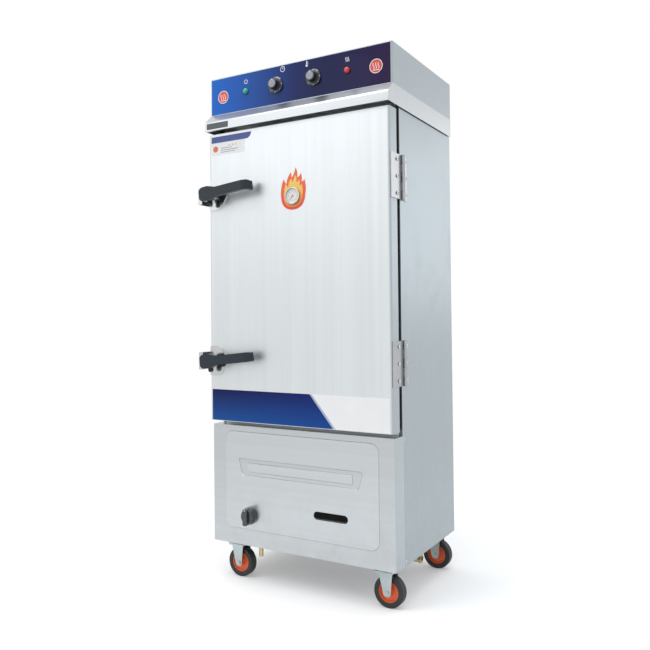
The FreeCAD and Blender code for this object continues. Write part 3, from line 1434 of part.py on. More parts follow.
def door_hinge():
    near = size.knuckle_radius + size.thin_sheet
    return hinge_leaves("hinge_door_leaves", (1, 3), hinge_y - size.door_leaf, hinge_y - near,
                        hinge_y - size.door_screw_back, size.hinge_pin + size.shaft_gap)


def side_screw(screws, face, side, y, z, rise, length):
    """A screw into the cabinet's side: its head outside the face and its shank inside."""
    head = screws.draw("YZ", face).circle(y, z, size.screw_head)
    add = screws.pad if side > 0 else screws.pad_down
    add("head", head, rise, size.press_slope)
    start = face - length if side > 0 else face
    shank = screws.draw("YZ", start).circle(y, z, size.screw_radius)
    screws.pad("shank", shank, length)


def cabinet_screws():
    """The skirt's screws, and those of the hinges' body leaves and the keepers."""
    screws = Piece("cabinet_screws")
    flat = size.screw_rise / 2
    for side in (-1, 1):
        length = size.sheet + size.fit_gap + size.frame_steel
        for z in skirt_screw_zs:
            side_screw(screws, half_width * side, side, skirt_screw_y, z, flat, length)
    for middle in hinge_middles:
        for z in hinge_screws(middle):
            side_screw(screws, half_width + size.fit_gap + size.leaf, 1, hinge_y + size.body_screw_back, z,
                       flat, size.leaf + size.fit_gap + size.sheet)
    for middle in latch_middles:
        for rise in (-size.keeper_height / 4, size.keeper_height / 4):
            side_screw(screws, -half_width - size.fit_gap - size.keeper_sheet, -1, keeper_screw_y,
                       middle + rise, flat, size.keeper_sheet + size.fit_gap + size.sheet)
    return screws


def door_screws():
    """The domed screws in the hinges' door leaves."""
    screws = Piece("door_screws")
    for middle in hinge_middles:
        for z in hinge_screws(middle):
            side_screw(screws, half_width + size.fit_gap + size.leaf, 1, hinge_y - size.door_screw_back, z,
                       size.screw_rise, size.leaf + size.fit_gap + size.sheet)
    return screws


def latch_bases():
    """Two base plates on the door's face, rounded to the right, each with a bored boss."""
    bases = Piece("latch_bases", x=latch_x, y=door_face, z=size.latch_lower)
    half = size.plate_height / 2
    left = -size.plate_left
    right = size.plate_right
    corner = size.screw_head
    plate = bases.draw("XZ", -size.plate_thickness).polygon([
        (left, -half, corner), (right * 0.45, -half, half * 0.6), (right, 0, half * 0.35),
        (right * 0.45, half, half * 0.6), (left, half, corner)])
    solid = bases.pad("plate", plate, size.plate_thickness)
    cone = bases.draw("XZ", -size.plate_thickness).circle(0, 0, size.boss_radius)
    boss = bases.pad_down("boss", cone, size.boss_reach - size.plate_thickness, size.boss_lean)
    round_hole = bases.draw("XZ", -size.boss_reach).circle(0, 0, size.spindle_radius + size.shaft_gap)
    bore = bases.cut("spindle bore", round_hole, size.boss_reach)
    bases.repeat("upper plate", [solid, boss, bore], "Z", size.latch_upper - size.latch_lower, 2)
    return bases


def latch_keepers():
    """Two cranked brackets on the left side panel whose lips the latch tongues turn in behind."""
    keepers = Piece("latch_keepers", z=size.latch_lower)
    steel = size.keeper_sheet
    foot_in = -half_width - size.fit_gap
    foot_out = foot_in - steel
    web_in = -half_width - size.keeper_out
    web_out = web_in - steel
    bend = steel * math.tan(math.radians(22.5))
    step_back = body_front + size.screw_head
    step_front = step_back - size.keeper_out + size.fit_gap
    lip_back = door_face - size.tongue_back - size.tongue_thickness - size.keeper_gap
    profile = keepers.draw("XY", -size.keeper_height / 2).polygon([
        (foot_in, body_front + size.keeper_foot), (foot_in, step_back), (web_in, step_front),
        (web_in, lip_back), (web_in + size.keeper_lip, lip_back),
        (web_in + size.keeper_lip, lip_back - steel), (web_out, lip_back - steel, steel),
        (web_out, step_front + bend), (foot_out, step_back + bend),
        (foot_out, body_front + size.keeper_foot)])
    bracket = keepers.pad("bracket", profile, size.keeper_height)
    holes = keepers.draw("YZ", foot_out)
    for rise in (-size.keeper_height / 4, size.keeper_height / 4):
        holes.circle(keeper_screw_y, rise, screw_hole)
    screws = keepers.cut("screw holes", holes, steel)
    keepers.repeat("upper bracket", [bracket, screws], "Z", size.latch_upper - size.latch_lower, 2)
    return keepers


def latch_lever(label, middle):
    """A latch lever curled back at its end, its spindle, and the tongue that holds the door."""
    place = {"x": latch_x, "y": door_face, "z": middle, "tilt": size.latch_tilt}
    front = -size.lever_stand
    hub = size.lever_hub
    arm = size.lever_thickness
    reach = size.lever_reach
    half = size.lever_height / 2
    lever = Piece(label + "_arm", **place)
    plan = lever.draw("XY").polygon([
        (-hub, front, arm / 2), (reach, front, size.lever_bend), (reach, front + size.lever_curl, arm / 3),
        (reach - arm, front + size.lever_curl, arm / 3), (reach - arm, front + arm, size.lever_bend - arm),
        (hub * 1.4, front + arm), (hub, front + size.lever_hub_depth), (-hub, front + size.lever_hub_depth)])
    lever.pad("curled bar", plan, hub * 2, both=True)
    margin = arm
    side = lever.draw("XZ", front)
    side.rectangle(-hub - margin, -hub - margin, reach + margin, hub + margin)
    side.polygon([
        (-hub, -hub, hub * 0.95), (hub * 0.7, -hub, hub / 2), (hub * 2, -half, hub),
        (reach, -half, half / 2), (reach, half, half / 2), (hub * 2, half, hub),
        (hub * 0.7, hub, hub / 2), (-hub, hub, hub * 0.95)])
    lever.cut("outline", side, size.lever_stand)
    spindle = Piece(label + "_spindle", **place)
    rod = spindle.draw("XZ", front + size.lever_hub_depth).circle(0, 0, size.spindle_radius)
    spindle.pad("spindle", rod, size.lever_stand - size.lever_hub_depth - size.fit_gap)
    tongue = Piece(label + "_tongue", **place)
    width = size.tongue_width / 2
    flat = tongue.draw("XZ", -size.tongue_back - size.tongue_thickness)
    flat.polygon([
        (-width, width * 1.2, width * 0.8), (-width, -size.tongue_reach, width * 0.8),
        (width, -size.tongue_reach, width * 0.8), (width, width * 1.2, width * 0.8)])
    flat.circle(0, 0, size.spindle_radius)
    tongue.pad("tongue", flat, size.tongue_thickness)
    return grouped(label, [lever, spindle, tongue])


gauge_floor = size.pipe_wall
gauge_rim = size.flute_radius
needle_radius = size.thin_sheet


def gauge_piece(label):
    return Piece(label, y=door_face, z=size.gauge_height)


def thermometer_case():
    """A turned case with its bezel, and the probe through the door into the chamber."""
    case = gauge_piece("thermometer_case")
    radius = size.gauge_radius
    end = size.door_thickness + size.gauge_probe
    bore = needle_radius + size.shaft_gap
    profile = case.draw("YZ").polygon([
        (-size.thin_sheet, 0), (-size.thin_sheet, bore), (-gauge_floor, bore),
        (-gauge_floor, radius - gauge_rim), (-size.gauge_reach, radius - gauge_rim),
        (-size.gauge_reach, radius, gauge_rim / 2), (0, radius), (0, size.gauge_stem),
        (end, size.gauge_stem, size.gauge_stem / 2), (end, 0)])
    case.turned("case and probe", profile)
    return case


def thermometer_disc(label, at, thickness, hole):
    disc = gauge_piece(label)
    ring = disc.draw("XZ", at).circle(0, 0, size.gauge_radius - gauge_rim - size.shaft_gap)
    if hole is not None:
        ring.circle(0, 0, hole)
    disc.pad("disc", ring, thickness)
    return disc


def thermometer_needle():
    """The pointer on its arbor, at the low end of the scale."""
    needle = gauge_piece("thermometer_needle")
    at = -gauge_floor - size.thin_sheet * 2
    tip = (size.gauge_radius - gauge_rim) * 0.75
    low = tip * math.sqrt(0.5)
    width = needle_radius
    hand = needle.draw("XZ", at).polygon([
        (-low, -low), (width, -width), (width * 3, width * 3), (-width, width)])
    needle.pad("hand", hand, size.thin_sheet / 2)
    cap = needle.draw("XZ", at - size.thin_sheet / 2).circle(0, 0, needle_radius * 3)
    needle.pad("cap", cap, size.thin_sheet)
    arbor = needle.draw("XZ", at).circle(0, 0, needle_radius)
    needle.pad("arbor", arbor, gauge_floor + size.thin_sheet * 2 - size.thin_sheet - size.shaft_gap)
    return needle


race_low = -size.plate_steel - size.race_height
crown_top = race_low - size.fit_gap
crown_low = crown_top - size.crown_height
axle_z = size.wheel_radius - size.caster_height


def caster_plate(name, x, y):
    """A caster's top plate with the ball race and the swivel pin."""
    plate = Piece("caster_plate_" + name, x=x, y=y)
    half_x = size.plate_x / 2
    half_y = size.plate_y / 2
    outline = plate.draw("XY", -size.plate_steel)
    symmetric(outline, half_x, -half_y, half_y, size.door_edge)
    plate.pad("plate", outline, size.plate_steel)
    top = -size.plate_steel
    low = crown_low - size.fit_gap
    race = size.race_radius
    pin = size.kingpin_radius
    profile = plate.draw("XZ").polygon([
        (0, top), (race * 0.85, top), (race, top - size.race_height / 2, size.race_height / 4),
        (race * 0.9, race_low), (pin, race_low), (pin, low), (pin * 1.5, low),
        (pin * 1.5, low - size.plate_steel), (0, low - size.plate_steel)])
    plate.turned("race and swivel pin", profile, axis="V_Axis")
    for side_x in (-1, 1):
        for side_y in (-1, 1):
            bolt = plate.draw("XY", top - size.plate_steel)
            bolt.circle((half_x - size.door_edge * 1.25) * side_x, (half_y - size.door_edge * 1.25) * side_y,
                        size.screw_head)
            plate.pad("bolt head", bolt, size.plate_steel)
    return plate


def caster_fork(name, x, y):
    """A fork of bent steel that turns on the swivel pin, with the axle bolt."""
    fork = Piece(name + "_caster_frame", x=x, y=y)
    steel = size.fork_steel
    outer = size.fork_gap + steel
    crown = fork.draw("XY", crown_low)
    crown.rectangle(-size.race_radius, -outer, size.fork_back, outer, size.door_edge)
    crown.circle(0, 0, size.kingpin_radius + size.shaft_gap)
    fork.pad("crown", crown, size.crown_height)
    foot = size.fork_foot
    trail = size.caster_trail
    for side in (outer * -1, size.fork_gap):
        leg = fork.draw("XZ", side).polygon([
            (-size.fork_front, crown_top), (trail - foot * 1.2, axle_z - foot * 1.2, foot),
            (trail + foot * 1.2, axle_z - foot * 1.2, foot), (size.fork_back, crown_low - steel),
            (size.fork_back, crown_top)])
        leg.circle(trail, axle_z, size.axle_radius)
        fork.pad("leg", leg, steel)
    axle = Piece(name + "_caster_axle", x=x + trail, y=y, z=axle_z)
    rod = axle.draw("XZ").circle(0, 0, size.axle_radius)
    axle.pad("axle", rod, (outer + size.nut_height / 2) * 2, both=True)
    for at in (-outer - size.nut_height / 2 - size.fit_gap / 10, outer):
        nut(axle, "nut", "XZ", at, 0, 0, size.axle_radius / 2, size.axle_radius * 1.9, size.nut_height / 2)
    return grouped(name + "_caster_fork", [fork, axle])


def caster_hub(name, x, y):
    """A moulded wheel hub, its web thinner than its rim and boss."""
    hub = Piece(name + "_caster_hub", x=x + size.caster_trail, y=y, z=axle_z)
    rim = size.tyre_width / 2 - size.pipe_wall
    web = size.hub_web / 2
    boss = size.fork_gap - size.fit_gap
    seat = size.hub_radius
    bore = size.axle_radius + size.shaft_gap
    radius = size.hub_boss
    side = [(-boss, bore), (-boss, radius * 0.8), (-rim, radius), (-web, radius * 1.2, size.pipe_wall),
            (-web, seat - size.tyre_shoulder, size.pipe_wall), (-rim, seat - size.pipe_wall), (-rim, seat)]
    other = [(-corner[0],) + corner[1:] for corner in reversed(side)]
    hub.turned("hub", hub.draw("YZ").polygon(side + other))
    return hub


def caster_tyre(name, x, y):
    """A solid rubber tyre with rounded shoulders."""
    tyre = Piece(name + "_caster_tyre", x=x + size.caster_trail, y=y, z=axle_z)
    half = size.tyre_width / 2
    seat = half - size.pipe_wall
    profile = tyre.draw("YZ").polygon([
        (-seat, size.hub_radius), (-half, size.hub_radius + size.tyre_shoulder),
        (-half, size.wheel_radius, size.tyre_shoulder), (half, size.wheel_radius, size.tyre_shoulder),
        (half, size.hub_radius + size.tyre_shoulder), (seat, size.hub_radius)])
    tyre.turned("tyre", profile)
    return tyre


def casters():
    plates = []
    for end, y in swivel_ys.items():
        for name, side in (("left", -1), ("right", 1)):
            x = swivel_x * side
            full = end + "_" + name
            plates.append(caster_plate(full, x, y))
            caster_fork(full, x, y)
            caster_hub(full, x, y)
            caster_tyre(full, x, y)
    grouped("caster_plates", plates)


def build():
    base_frame()
    side_panel("left_side_panel", -1)
    side_panel("right_side_panel", 1)
    rear_panel()
    liner()
    wall_insulation()
    tray_racks()
    trays()
    water_tank()
    steam_plate()
    heating_elements()
    gas_burner()
    gas_tap()
    gas_pipe()
    water_inlet()
    steam_vent()
    drain_pipe()
    drain_tap()
    drain_lever()
    lower_panel()
    roof_cap()
    control_box()
    control_panel()
    lamp("green_lamp", -1)
    lamp("red_lamp", 1)
    switch_body("timer_body", -1)
    switch_body("thermostat_body", 1)
    dial_knob("timer_knob", -1)
    dial_knob("thermostat_knob", 1)
    gas_knob()
    contactor()
    body_hinge()
    latch_keepers()
    cabinet_screws()
    casters()
    door_skin()
    door_liner()
    door_insulation()
    door_gasket()
    door_hinge()
    door_screws()
    latch_bases()
    latch_lever("upper_latch_lever", size.latch_upper)
    latch_lever("lower_latch_lever", size.latch_lower)
    thermometer_case()
    floor = -gauge_floor - size.thin_sheet
    thermometer_disc("thermometer_dial", floor, size.thin_sheet, needle_radius * 2)
    thermometer_disc("thermometer_glass", -size.gauge_reach + size.thin_sheet, size.thin_sheet, None)
    thermometer_needle()
    doc.recompute()


def check():
    """Stop if a feature failed, a shape is unsound or a cut took nothing away."""
    for item in doc.Objects:
        if "Invalid" in item.State or "Error" in item.State:
            raise RuntimeError("%s failed: %s" % (item.Label, item.State))
        if item.TypeId in ("PartDesign::Pocket", "PartDesign::SubtractiveLoft"):
            if item.Shape.Volume >= item.BaseFeature.Shape.Volume - 1e-3:
                raise RuntimeError("%s cuts nothing" % item.Label)
    for label, item in nodes.items():
        if item.Shape.isNull() or not item.Shape.isValid():
            raise RuntimeError("%s has no sound shape" % label)


def export():
    os.makedirs("parts", exist_ok=True)
    for label, item in nodes.items():
        item.Shape.exportStep("parts/%s.step" % label)
    print("%d nodes, %d solids" % (len(nodes), sum(len(i.Shape.Solids) for i in nodes.values())))


build()
check()
export()
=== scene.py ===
import math

import bmesh
import bpy
from mathutils import Matrix, Vector


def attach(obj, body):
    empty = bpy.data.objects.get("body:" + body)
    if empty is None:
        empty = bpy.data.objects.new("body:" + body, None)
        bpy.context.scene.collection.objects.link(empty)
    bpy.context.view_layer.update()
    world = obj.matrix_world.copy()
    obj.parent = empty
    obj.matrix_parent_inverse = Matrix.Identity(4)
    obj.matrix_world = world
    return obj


# Looks of the rice steamer cabinet. X runs to the right seen from the front, Y to the back, Z up,
# in metres. Every mesh keeps its points in that frame, so object coordinates are cabinet places.

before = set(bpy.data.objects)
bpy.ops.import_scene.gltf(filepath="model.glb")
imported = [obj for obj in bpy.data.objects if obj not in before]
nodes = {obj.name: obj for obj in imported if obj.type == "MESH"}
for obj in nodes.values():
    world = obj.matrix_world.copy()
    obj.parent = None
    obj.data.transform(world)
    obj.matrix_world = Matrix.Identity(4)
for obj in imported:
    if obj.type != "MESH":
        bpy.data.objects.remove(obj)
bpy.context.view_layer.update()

# Places in Y of the CAD part's faces that look to the front.
DOOR_FACE = -0.2435
PANEL_FRONT = -0.2285
PRESSED_FACE = -0.2310
FILM_FACE = -0.2293
EAVE_FACE = -0.2615
SKIRT_FACE = -0.23406
GRIP_FACE = -0.25530
GAS_KNOB_FACE = -0.2650
DIAL_FACE = -0.2465

# The side sheets' outer faces in X, and their front edges in Y.
SIDE_FACE = 0.350
SIDE_FRONT = -0.1715

# Centres of the round fittings, the slope of the two upper knobs' skirts, and the degrees from one of a
# dial's numbers to the next.
KNOB_X = 0.074
KNOB_Z = 1.682
SKIRT_SLOPE = 0.334
GAUGE_Z = 1.299
GAS_KNOB_X = -0.191
GAS_KNOB_Z = 0.229
NUMBER_STEP = 45

# Screws at the sides: where the heads of one kind stand in X and Y, and their rows in Z.
DOOR_LEAF = (0.3553, -0.1985)
BODY_LEAF = (0.3538, -0.1365)
LEAF_ROWS = (0.702, 0.755, 0.808, 1.282, 1.335, 1.388)
PANEL_SCREW = (0.3515, -0.1545)
PANEL_ROWS = (0.140, 0.518)
KEEPER_SCREW = (-0.3543, -0.1405)
KEEPER_ROWS = (0.737, 0.767, 1.313, 1.343)
DOME_HEIGHT = 0.0035

CORNERS = ("front_left", "front_right", "rear_left", "rear_right")

WHITE = (1.0, 1.0, 1.0)
BLACK = (0.0, 0.0, 0.0)
RIGHT = Vector((1.0, 0.0, 0.0))
FRONT = Vector((0.0, -1.0, 0.0))
UP = Vector((0.0, 0.0, 1.0))


# Node trees

class Net:
    """A node tree with short ways to add to it."""

    def __init__(self, tree):
        self.tree = tree

    def add(self, kind, inputs=None, **settings):
        node = self.tree.nodes.new(kind)
        for name, value in settings.items():
            setattr(node, name, value)
        for key, value in (inputs or {}).items():
            self.put(node.inputs[key], value)
        return node

    def put(self, socket, value):
        """Link a socket to another one, or set it to a constant. All colours are opaque."""
        if isinstance(value, bpy.types.NodeSocket):
            self.tree.links.new(value, socket)
        elif socket.type == "RGBA":
            socket.default_value = (*value, 1.0)
        else:
            socket.default_value = value

    def math(self, operation, first, second=0.0, clamp=False):
        node = self.add("ShaderNodeMath", {0: first, 1: second}, operation=operation, use_clamp=clamp)
        return node.outputs[0]

    def mix(self, factor, first, second):
        """A colour between two colours."""
        inputs = {"Factor": factor, 6: first, 7: second}
        return self.add("ShaderNodeMix", inputs, data_type="RGBA").outputs[2]

    def blend(self, factor, first, second):
        """A value between two values."""
        return self.add("ShaderNodeMix", {"Factor": factor, 2: first, 3: second}).outputs[0]

    def place(self):
        return self.add("ShaderNodeTexCoord").outputs["Object"]

    def split(self, vector):
        return self.add("ShaderNodeSeparateXYZ", {0: vector}).outputs

    def vector(self, operation, first, second):
        return self.add("ShaderNodeVectorMath", {0: first, 1: second}, operation=operation).outputs[0]

    def noise(self, vector, scale, detail=3.0, rough=0.5):
        inputs = {"Vector": vector, "Scale": scale, "Detail": detail, "Roughness": rough}
        return self.add("ShaderNodeTexNoise", inputs).outputs["Fac"]

    def ramp(self, value, low, high, start=0.0, end=1.0):
        """A value carried from low..high to start..end, and held at both ends."""
        node = self.add("ShaderNodeMapRange", {0: value, 1: low, 2: high, 3: start, 4: end})
        return node.outputs[0]

    def band(self, value, low, high, soft):
        """1 between low and high, with soft edges."""
        rise = self.ramp(value, low - soft, low + soft)
        fall = self.ramp(value, high - soft, high + soft, 1.0, 0.0)
        return self.math("MULTIPLY", rise, fall)

    def about(self, middle, value, swing, clamp=False):
        """A number that sways about a middle with a value between 0 and 1."""
        sway = self.math("MULTIPLY", self.math("SUBTRACT", value, 0.5), swing)
        return self.math("ADD", middle, sway, clamp)

    def bump(self, height, distance, strength=1.0):
        inputs = {"Strength": strength, "Distance": distance, "Height": height}
        return self.add("ShaderNodeBump", inputs).outputs[0]

    def group(self, tree, inputs):
        node = self.tree.nodes.new("ShaderNodeGroup")
        node.node_tree = tree
        for key, value in inputs.items():
            self.put(node.inputs[key], value)
        return node.outputs


def shared(name, inputs, outputs):
    """A node group with these sockets: its tree, its net, its input sockets and its output node."""
    tree = bpy.data.node_groups.new(name, "ShaderNodeTree")
    for label, kind, value in inputs:
        socket = tree.interface.new_socket(label, in_out="INPUT", socket_type="NodeSocket" + kind)
        if value is not None:
            socket.default_value = value
    for label, kind in outputs:
        tree.interface.new_socket(label, in_out="OUTPUT", socket_type="NodeSocket" + kind)
    source = tree.nodes.new("NodeGroupInput")
    result = tree.nodes.new("NodeGroupOutput")
    return tree, Net(tree), source.outputs, result


def brushing():
    """Fine lines along one axis, with wider streaks among them: two values and a normal."""
    line_depth = 0.00012
    inputs = [("Place", "Vector", None), ("Across", "Vector", (1.0, 1.0, 1.0)), ("Depth", "Float", 0.3)]
    outputs = [("Lines", "Float"), ("Streaks", "Float"), ("Normal", "Vector")]
    tree, net, given, result = shared("brushing", inputs, outputs)
    along = net.vector("MULTIPLY", given["Place"], given["Across"])
    lines = net.noise(along, scale=520.0, detail=2.0, rough=0.7)
    streaks = net.noise(along, scale=46.0, detail=4.0, rough=0.6)
    net.put(result.inputs["Lines"], lines)
    net.put(result.inputs["Streaks"], streaks)
    net.put(result.inputs["Normal"], net.bump(lines, line_depth, given["Depth"]))
    return tree


def handling():
    """Where hands and cloths have been: soft smears and a few fine scratches."""
    outputs = [("Smears", "Float"), ("Scratches", "Float")]
    tree, net, given, result = shared("handling", [("Place", "Vector", None)], outputs)
    place = given["Place"]
    wide = net.noise(place, scale=2.6, detail=4.0, rough=0.55)
    small = net.noise(place, scale=17.0, detail=5.0, rough=0.65)
    smears = net.math("MULTIPLY", net.ramp(wide, 0.45, 0.70), net.ramp(small, 0.42, 0.72))
    net.put(result.inputs["Smears"], smears)
    drift = net.add("ShaderNodeTexNoise", {"Vector": place, "Scale": 3.0}).outputs["Color"]
    warped = net.vector("ADD", place, net.vector("MULTIPLY", drift, (0.3, 0.3, 0.3)))
    cells = net.add("ShaderNodeTexVoronoi", {"Vector": warped, "Scale": 7.0}, feature="DISTANCE_TO_EDGE")
    thin = net.ramp(cells.outputs["Distance"], 0.0, 0.0020, 1.0, 0.0)
    rare = net.ramp(net.noise(place, scale=5.0), 0.64, 0.72)
    net.put(result.inputs["Scratches"], net.math("MULTIPLY", thin, rare))
    return tree


def grime():
    """Dust and old splashes that thicken downwards from one level to another: a mask."""
    inputs = [("Place", "Vector", None), ("Low", "Float", 0.0), ("High", "Float", 0.3)]
    tree, net, given, result = shared("grime", inputs, [("Mask", "Float")])
    height = net.split(given["Place"])[2]
    below = net.math("SUBTRACT", given["High"], height)
    level = net.math("DIVIDE", below, net.math("SUBTRACT", given["High"], given["Low"]), clamp=True)
    spots = net.noise(given["Place"], scale=24.0, detail=6.0, rough=0.7)
    net.put(result.inputs["Mask"], net.math("MULTIPLY", level, net.ramp(spots, 0.35, 0.75)))
    return tree


BRUSHING = brushing()
HANDLING = handling()
GRIME = grime()


# Materials

def material(name):
    """A new material, its net and its surface shader's inputs."""
    made = bpy.data.materials.new(name)
    made.use_nodes = True
    return made, Net(made.node_tree), made.node_tree.nodes["Principled BSDF"].inputs


def toned(colour, factor):
    """A colour made darker or lighter by a factor."""
    return [min(1.0, part * factor) for part in colour]


# Scales that draw a noise out into lines: from top to bottom, from side to side, or from front to back.
UPRIGHT = (1.0, 1.0, 0.012)
LEVEL = (0.012, 1.0, 1.0)
DEEP = (1.0, 0.012, 1.0)


def sheet_steel(name, across, colour, rough=0.36, dirt=0.25, marks=None):
    """Brushed stainless sheet: lines along one axis, smears, a few scratches and dust low down."""
    made, net, surface = material(name)
    place = net.place()
    brushed = net.group(BRUSHING, {"Place": place, "Across": across})
    touched = net.group(HANDLING, {"Place": place})
    dust = net.group(GRIME, {"Place": place, "Low": 0.1, "High": 0.55})["Mask"]
    tone = net.mix(net.ramp(brushed["Streaks"], 0.3, 0.7), toned(colour, 0.93), colour)
    tone = net.mix(net.math("MULTIPLY", brushed["Lines"], 0.22), tone, toned(colour, 0.8))
    tone = net.mix(net.math("MULTIPLY", touched["Scratches"], 0.3), tone, (0.95, 0.95, 0.95))
    tone = net.mix(net.math("MULTIPLY", dust, dirt), tone, (0.46, 0.43, 0.38))
    # Marks given by the caller come last: painted shade and painted highlights on edges, folds and pressed
    # slopes, and dark seams.
    for mask, shade in (marks(net, place) if marks else ()):
        tone = net.mix(mask, tone, shade)
    net.put(surface["Base Color"], tone)
    net.put(surface["Metallic"], 1.0)
    shine = net.about(rough, brushed["Streaks"], 0.12)
    shine = net.math("ADD", shine, net.math("MULTIPLY", touched["Smears"], 0.10))
    shine = net.math("ADD", shine, net.math("MULTIPLY", dust, 0.15), clamp=True)
    net.put(surface["Roughness"], shine)
    net.put(surface["Normal"], brushed["Normal"])
    return made


def plain(name, colour, rough, metal=0.0, bumps=0.0, scale=300.0, vary=0.06, coat=0.0, gloss=0.5):
    """A moulded, cast, plated or printed surface with slight unevenness."""
    made, net, surface = material(name)
    place = net.place()
    grain = net.noise(place, scale, detail=4.0, rough=0.6)
    broad = net.noise(place, scale=14.0)
    touched = net.group(HANDLING, {"Place": place})
    net.put(surface["Base Color"], net.mix(broad, toned(colour, 1.0 - vary * 2), toned(colour, 1.0 + vary)))
    net.put(surface["Metallic"], metal)
    shine = net.math("ADD", rough, net.math("MULTIPLY", touched["Smears"], 0.12))
    net.put(surface["Roughness"], net.about(shine, grain, 0.10, clamp=True))
    net.put(surface["Coat Weight"], coat)
    net.put(surface["Specular IOR Level"], gloss)
    if bumps:
        net.put(surface["Normal"], net.bump(grain, bumps))
    return made


def dress(names, made):
    """Give CAD nodes a material."""
    for name in names:
        mesh = nodes[name].data
        mesh.materials.clear()
        mesh.materials.append(made)


def caster_pieces(piece):
    """The nodes of this piece at all four casters."""
    return ["%s_caster_%s" % (corner, piece) for corner in CORNERS]


def folded_edge(net, place, inner, outer, shade):
    """Painted shade on a sheet's folded upright edges, which face away from the light, between two distances
    from the side's face.
    """
    out = net.math("ABSOLUTE", net.split(place)[0])
    return net.ramp(out, SIDE_FACE - inner, SIDE_FACE - outer), shade


def door_marks(net, place):
    """Painted shade on the folded edges of the door's sheet."""
    return [folded_edge(net, place, 0.0075, 0.0012, (0.42, 0.47, 0.50))]


def pressed_marks(net, place):
    """Painted shade at the foot of the pressed slopes, a painted highlight along their crests, and painted
    shade on the folded edges.
    """
    y = net.split(place)[1]
    foot = net.band(y, PRESSED_FACE + 0.0009, PANEL_FRONT - 0.0002, soft=0.0003)
    crest_highlight = net.band(y, PRESSED_FACE + 0.0001, PRESSED_FACE + 0.0006, soft=0.0001)
    # The foot's dark line is painted shade and the crest's bright line a painted highlight, both standing in
    # for light on the slopes.
    return [(net.math("MULTIPLY", foot, 0.55), (0.17, 0.18, 0.19)),
            (net.math("MULTIPLY", crest_highlight, 0.8), (0.92, 0.94, 0.95)),
            folded_edge(net, place, 0.0030, 0.0015, (0.45, 0.50, 0.52))]


def seam_marks(net, place):
    """The dark seam at a side sheet's front edge, with a painted highlight of the fold as a bright line
    beside it.
    """
    y = net.split(place)[1]
    seam = net.band(y, SIDE_FRONT - 0.0010, SIDE_FRONT + 0.0012, soft=0.0003)
    fold = net.band(y, SIDE_FRONT + 0.0018, SIDE_FRONT + 0.0030, soft=0.0003)
    # The seam is a dark joint; the fold's bright line is a painted highlight.
    return [(net.math("MULTIPLY", seam, 0.8), (0.10, 0.11, 0.12)),
            (net.math("MULTIPLY", fold, 0.6), (0.85, 0.88, 0.90))]


def outer_steel():
    """The sheets that make the cabinet's outside, apart from the door's."""
    pale = (0.58, 0.61, 0.63)
    # The side and rear sheets take a darker copy of the same stainless steel: painted shade for faces turned
    # away from the lamps.
    shaded_steel = (0.42, 0.475, 0.505)
    sides = sheet_steel("side_steel", UPRIGHT, shaded_steel, marks=seam_marks)
    dress(["left_side_panel", "right_side_panel"], sides)
    dress(["rear_panel"], sheet_steel("rear_steel", UPRIGHT, shaded_steel))
    dress(["lower_panel"], sheet_steel("lower_panel_steel", LEVEL, pale, 0.30, marks=pressed_marks))
    dress(["roof_cap"], sheet_steel("cap_steel", LEVEL, pale, 0.32, dirt=0.0))
    # The control box also takes a darker copy of the same steel: painted shade on its sides.
    dress(["control_box"], sheet_steel("box_steel", LEVEL, (0.42, 0.47, 0.505), 0.34, dirt=0.0))


def inner_steel():
    """The chamber's sheets and racks, the trays, and the pipes for steam and waste water."""
    chamber = sheet_steel("chamber_steel", UPRIGHT, (0.66, 0.67, 0.68), 0.30, dirt=0.0)
    dress(["door_liner", "chamber_liner", "water_tank"], chamber)
    rack = sheet_steel("rack_steel", DEEP, (0.62, 0.63, 0.64), 0.32, dirt=0.0)
    dress(["tray_racks", "steam_plate"], rack)
    dress(["trays"], sheet_steel("tray_steel", LEVEL, (0.72, 0.73, 0.74), 0.22, dirt=0.0))
    dress(["steam_vent", "drain_pipe"], plain("pipe_steel", (0.60, 0.60, 0.60), 0.33, metal=1.0))


def door_steel():
    """The door's sheet, brushed from top to bottom."""
    made = sheet_steel("door_steel", UPRIGHT, (0.70, 0.735, 0.755), 0.40, marks=door_marks)
    dress(["door_skin"], made)


def metal_parts():
    """Frame, casters, hinges, latches, brass fittings and the burner's castings."""
    angle = plain("frame_steel", (0.42, 0.43, 0.44), 0.5, metal=0.8, bumps=0.0002, scale=90.0)
    dress(["base_frame"], angle)
    zinc = plain("zinc", (0.70, 0.71, 0.73), 0.32, metal=1.0, bumps=0.00005, scale=500.0)
    dress(["caster_plates", "cabinet_screws", "door_screws"], zinc)
    fork = plain("fork_zinc", (0.47, 0.53, 0.535), 0.30, metal=1.0, bumps=0.00012, scale=130.0, vary=0.16)
    dress(caster_pieces("fork"), fork)
    hinge = plain("hinge_steel", (0.44, 0.455, 0.47), 0.20, metal=1.0, bumps=0.00004, scale=400.0, vary=0.10)
    dress(["hinge_body_leaves", "hinge_door_leaves"], hinge)
    chrome = plain("chrome", (0.56, 0.57, 0.58), 0.20, metal=1.0)
    dress(["latch_bases", "latch_keepers", "thermometer_case"], chrome)
    brass = plain("brass", (0.62, 0.50, 0.26), 0.36, metal=1.0, bumps=0.0001, scale=160.0, vary=0.1)
    dress(["drain_valve_body", "gas_pipe", "water_inlet"], brass)
    cast = plain("die_cast_zinc", (0.55, 0.56, 0.57), 0.45, metal=0.9, bumps=0.0002, scale=200.0)
    dress(["gas_valve"], cast)
    iron = plain("cast_iron", (0.075, 0.07, 0.065), 0.7, metal=0.4, bumps=0.0008, scale=140.0, vary=0.15)
    dress(["gas_burner"], iron)
    sheath = plain("heater_sheath", (0.36, 0.33, 0.30), 0.42, metal=0.9, bumps=0.0002, scale=90.0, vary=0.15)
    dress(["heating_elements"], sheath)


